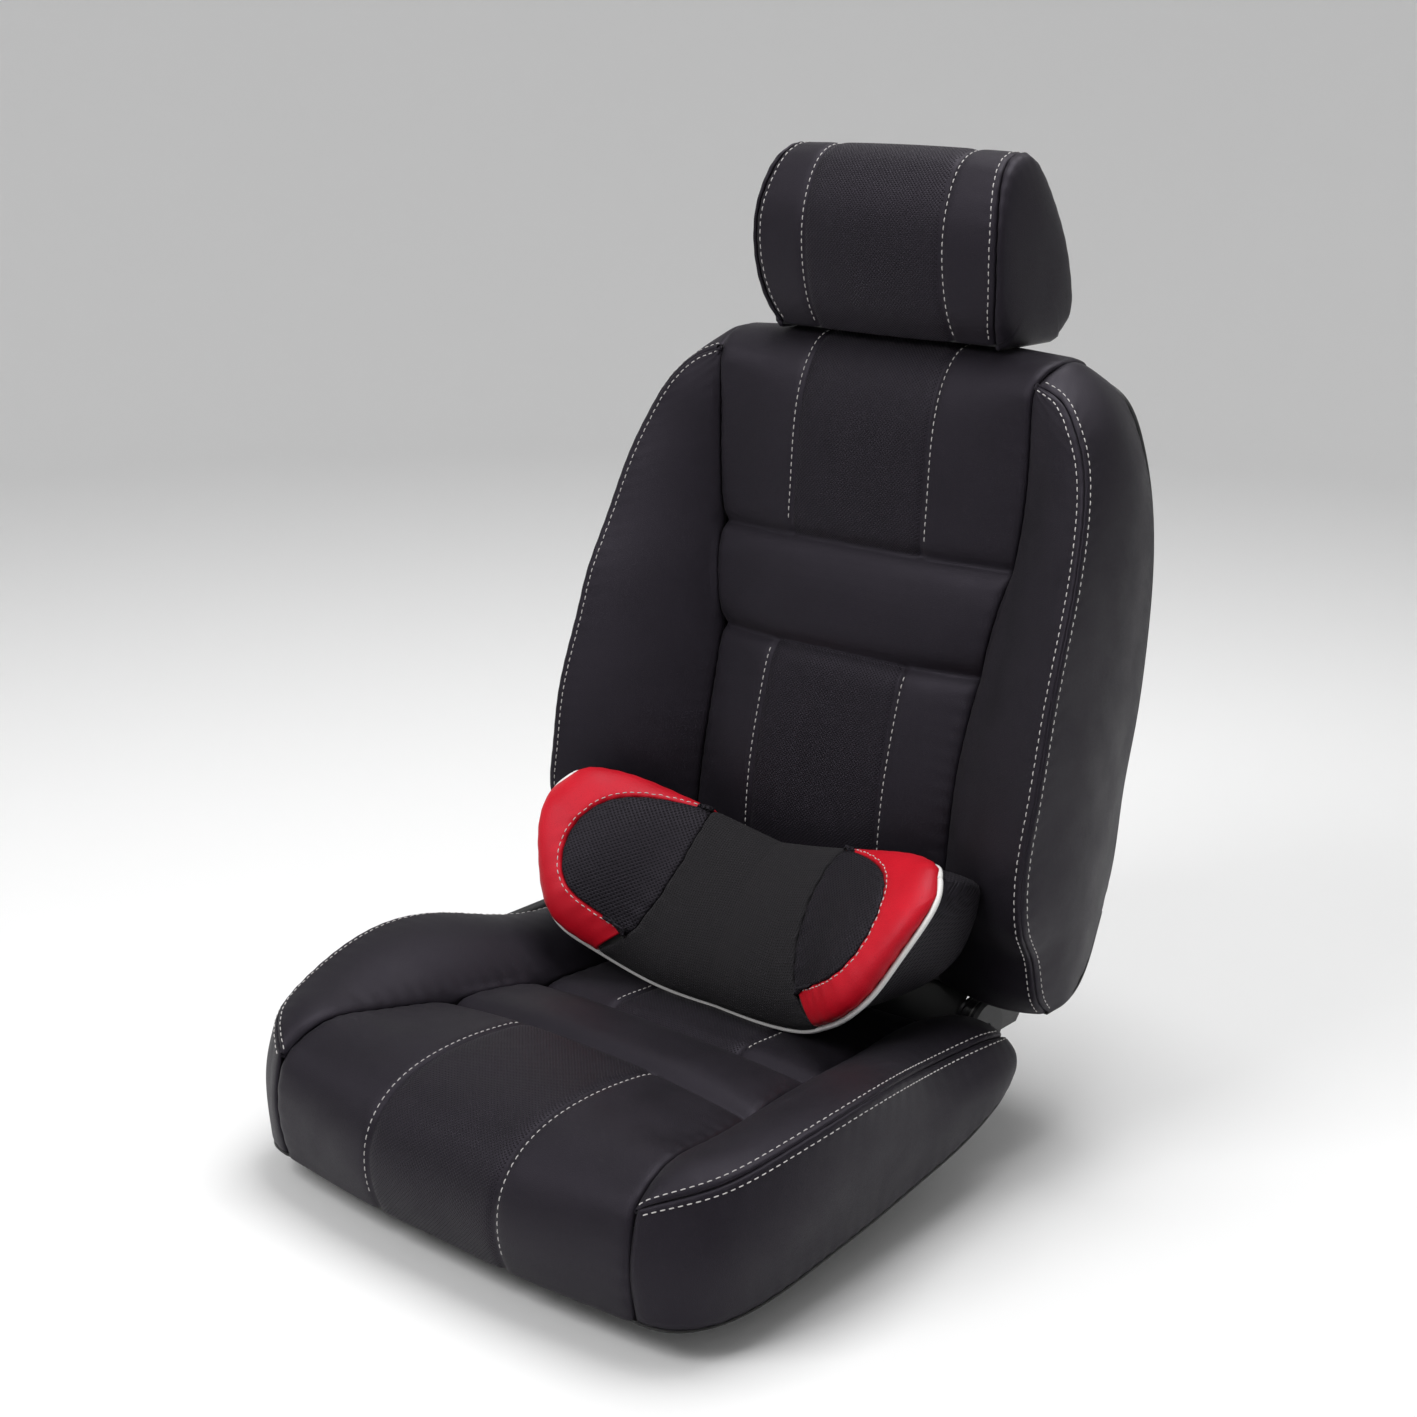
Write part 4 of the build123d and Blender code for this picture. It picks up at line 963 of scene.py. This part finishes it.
backing = face[UNDER_COVER_TRIM:-UNDER_COVER_TRIM]
sunk = np.full(backing.shape[:2], -UNDER_COVER_DEPTH)
panel("pillow_under_cover", bend_rows(backing, PILLOW_IN, sunk), PILLOW_IN, LINING, "pillow",
      SHEET_THICKNESS)
across_mesh = np.linspace(-1, 1, 101)[None, :]
middle_grid = settle(on_face(seam_path[:, :1] * across_mesh, seam_path[:, 1:] + 0 * across_mesh),
                     PILLOW_IN)
mesh_panel = panel("pillow_mesh", seam_pad(middle_grid, PILLOW_IN, "ab", 7, 1.8, PILLOW_GATHER),
                   PILLOW_IN, MESH, "pillow", PILLOW_THICKNESS, centred=True)
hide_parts("pillow_fill", "pillow_cover", "pillow_piping")
for tag, side in SIDES:
    band = seam_pad(between_paths(outer, inner, 17, side), PILLOW_IN, "ab", 5, 2, PILLOW_GATHER)
    red = panel(f"pillow_band_{tag}_cover", band, PILLOW_IN, RED, "pillow", PILLOW_THICKNESS)
    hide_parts(f"pillow_band_{tag}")
    lobe = settle(between_paths(inner, lobe_side, 61, side), PILLOW_IN)
    cover = panel(f"pillow_lobe_{tag}", seam_pad(lobe, PILLOW_IN, "ab", 7, 2.2, PILLOW_GATHER),
                  PILLOW_IN, LOBE, "pillow", PILLOW_THICKNESS, slope=(0, 0.6, 0.8))
    stitches(f"pillow_stitches_{tag}", [row_at(band, PILLOW_IN, 4.5, "b")], "pillow")

fat = np.minimum(1, pillow_width / 60)[:, None]  # less towards the tips
corner = np.stack([pillow_low[:, 0], pillow_high[:, 1], pillow_low[:, 2]], axis=1) * [1.02, 1, 1] \
    + fat * np.array([0, 22, 7])
rear_rails = [pillow_low, 0.55 * pillow_low + 0.45 * corner + fat * np.array([0, 0, -5]), corner,
              0.5 * pillow_high + 0.5 * corner + fat * np.array([0, 7, 0]), pillow_high]
pillow_rear = panel("pillow_rear", strip(rear_rails, 61), (0, 160, 190), LOBE, "pillow",
                    PILLOW_THICKNESS, slope=(0, -0.6, 0.8))
outwards = normals(strip([pillow_low, pillow_high], 3), PILLOW_IN)[:, 0]
tube("pillow_piping_low", pillow_low + outwards * 0.5, PIPING_RADIUS, PIPING, "pillow")
tube("pillow_piping_high", pillow_high + np.array([0, 0, 0.5]), PIPING_RADIUS, PIPING, "pillow")

# ---- setting, light and camera
PAPER_SIDES = 96
SWEEP_START, SWEEP_RADIUS, WALL_HEIGHT = 3.4, 1.6, 6.0  # a flat floor that curves up into a wall
sweep = [(SWEEP_START + SWEEP_RADIUS * math.sin(a), SWEEP_RADIUS - SWEEP_RADIUS * math.cos(a))
         for a in np.linspace(0.05, math.pi / 2, 24)]
paper_profile = [(0.4, 0.0), (SWEEP_START, 0.0), *sweep, (SWEEP_START + SWEEP_RADIUS, WALL_HEIGHT)]
turns = np.linspace(0, 2 * math.pi, PAPER_SIDES, endpoint=False)
paper_points = [(out * math.cos(a), out * math.sin(a), z)
                for out, z in paper_profile for a in turns]
paper_faces = [tuple(range(PAPER_SIDES))]
for ring_start in range(0, PAPER_SIDES * (len(paper_profile) - 1), PAPER_SIDES):
    for k in range(PAPER_SIDES):
        a, b = ring_start + k, ring_start + (k + 1) % PAPER_SIDES
        paper_faces.append((a, a + PAPER_SIDES, b + PAPER_SIDES, b))
floor_mesh = bpy.data.meshes.new("floor")
floor_mesh.from_pydata(paper_points, [], paper_faces)
floor_mesh.polygons.foreach_set("use_smooth", [True] * len(floor_mesh.polygons))
floor = bpy.data.objects.new("floor", floor_mesh)
show(floor)
paper = Nodes("studio_paper")
paper.shader.inputs["Base Color"].default_value = (0.86, 0.86, 0.86, 1)
paper.shader.inputs["Roughness"].default_value = 0.7
floor_mesh.materials.append(paper.material)

world = bpy.data.worlds.new("studio")
bpy.context.scene.world = world
world.use_nodes = True
background = world.node_tree.nodes["Background"]
background.inputs["Color"].default_value = (1, 1, 1, 1)
background.inputs["Strength"].default_value = 0.36


def lamp(name, place, aim, power, size):
    """A soft square light aimed at a point."""
    data = bpy.data.lights.new(name, "AREA")
    data.energy, data.size = power, size
    light = bpy.data.objects.new(name, data)
    light.location = place
    light.rotation_euler = (Vector(aim) - Vector(place)).to_track_quat("-Z", "Y").to_euler()
    show(light)


lamp("key", (-0.7, -2.1, 2.7), (0, 0, 0.4), 52, 1.5)
lamp("top", (0.1, 0.6, 2.7), (0, 0.2, 0.4), 52, 1.5)

AZIMUTH, ELEVATION = math.radians(40.612), math.radians(17.033)
camera_data = bpy.data.cameras.new("camera")
camera_data.sensor_width, camera_data.lens = 36.0, 58.43
camera = bpy.data.objects.new("camera", camera_data)
camera.location = (1.2375, -1.3488, 0.9811)
backwards = Vector((math.sin(AZIMUTH) * math.cos(ELEVATION),
                    -math.cos(AZIMUTH) * math.cos(ELEVATION), math.sin(ELEVATION)))
camera.rotation_euler = backwards.to_track_quat("Z", "Y").to_euler()
show(camera)
bpy.context.scene.camera = camera
bpy.context.scene.view_settings.view_transform = "Standard"
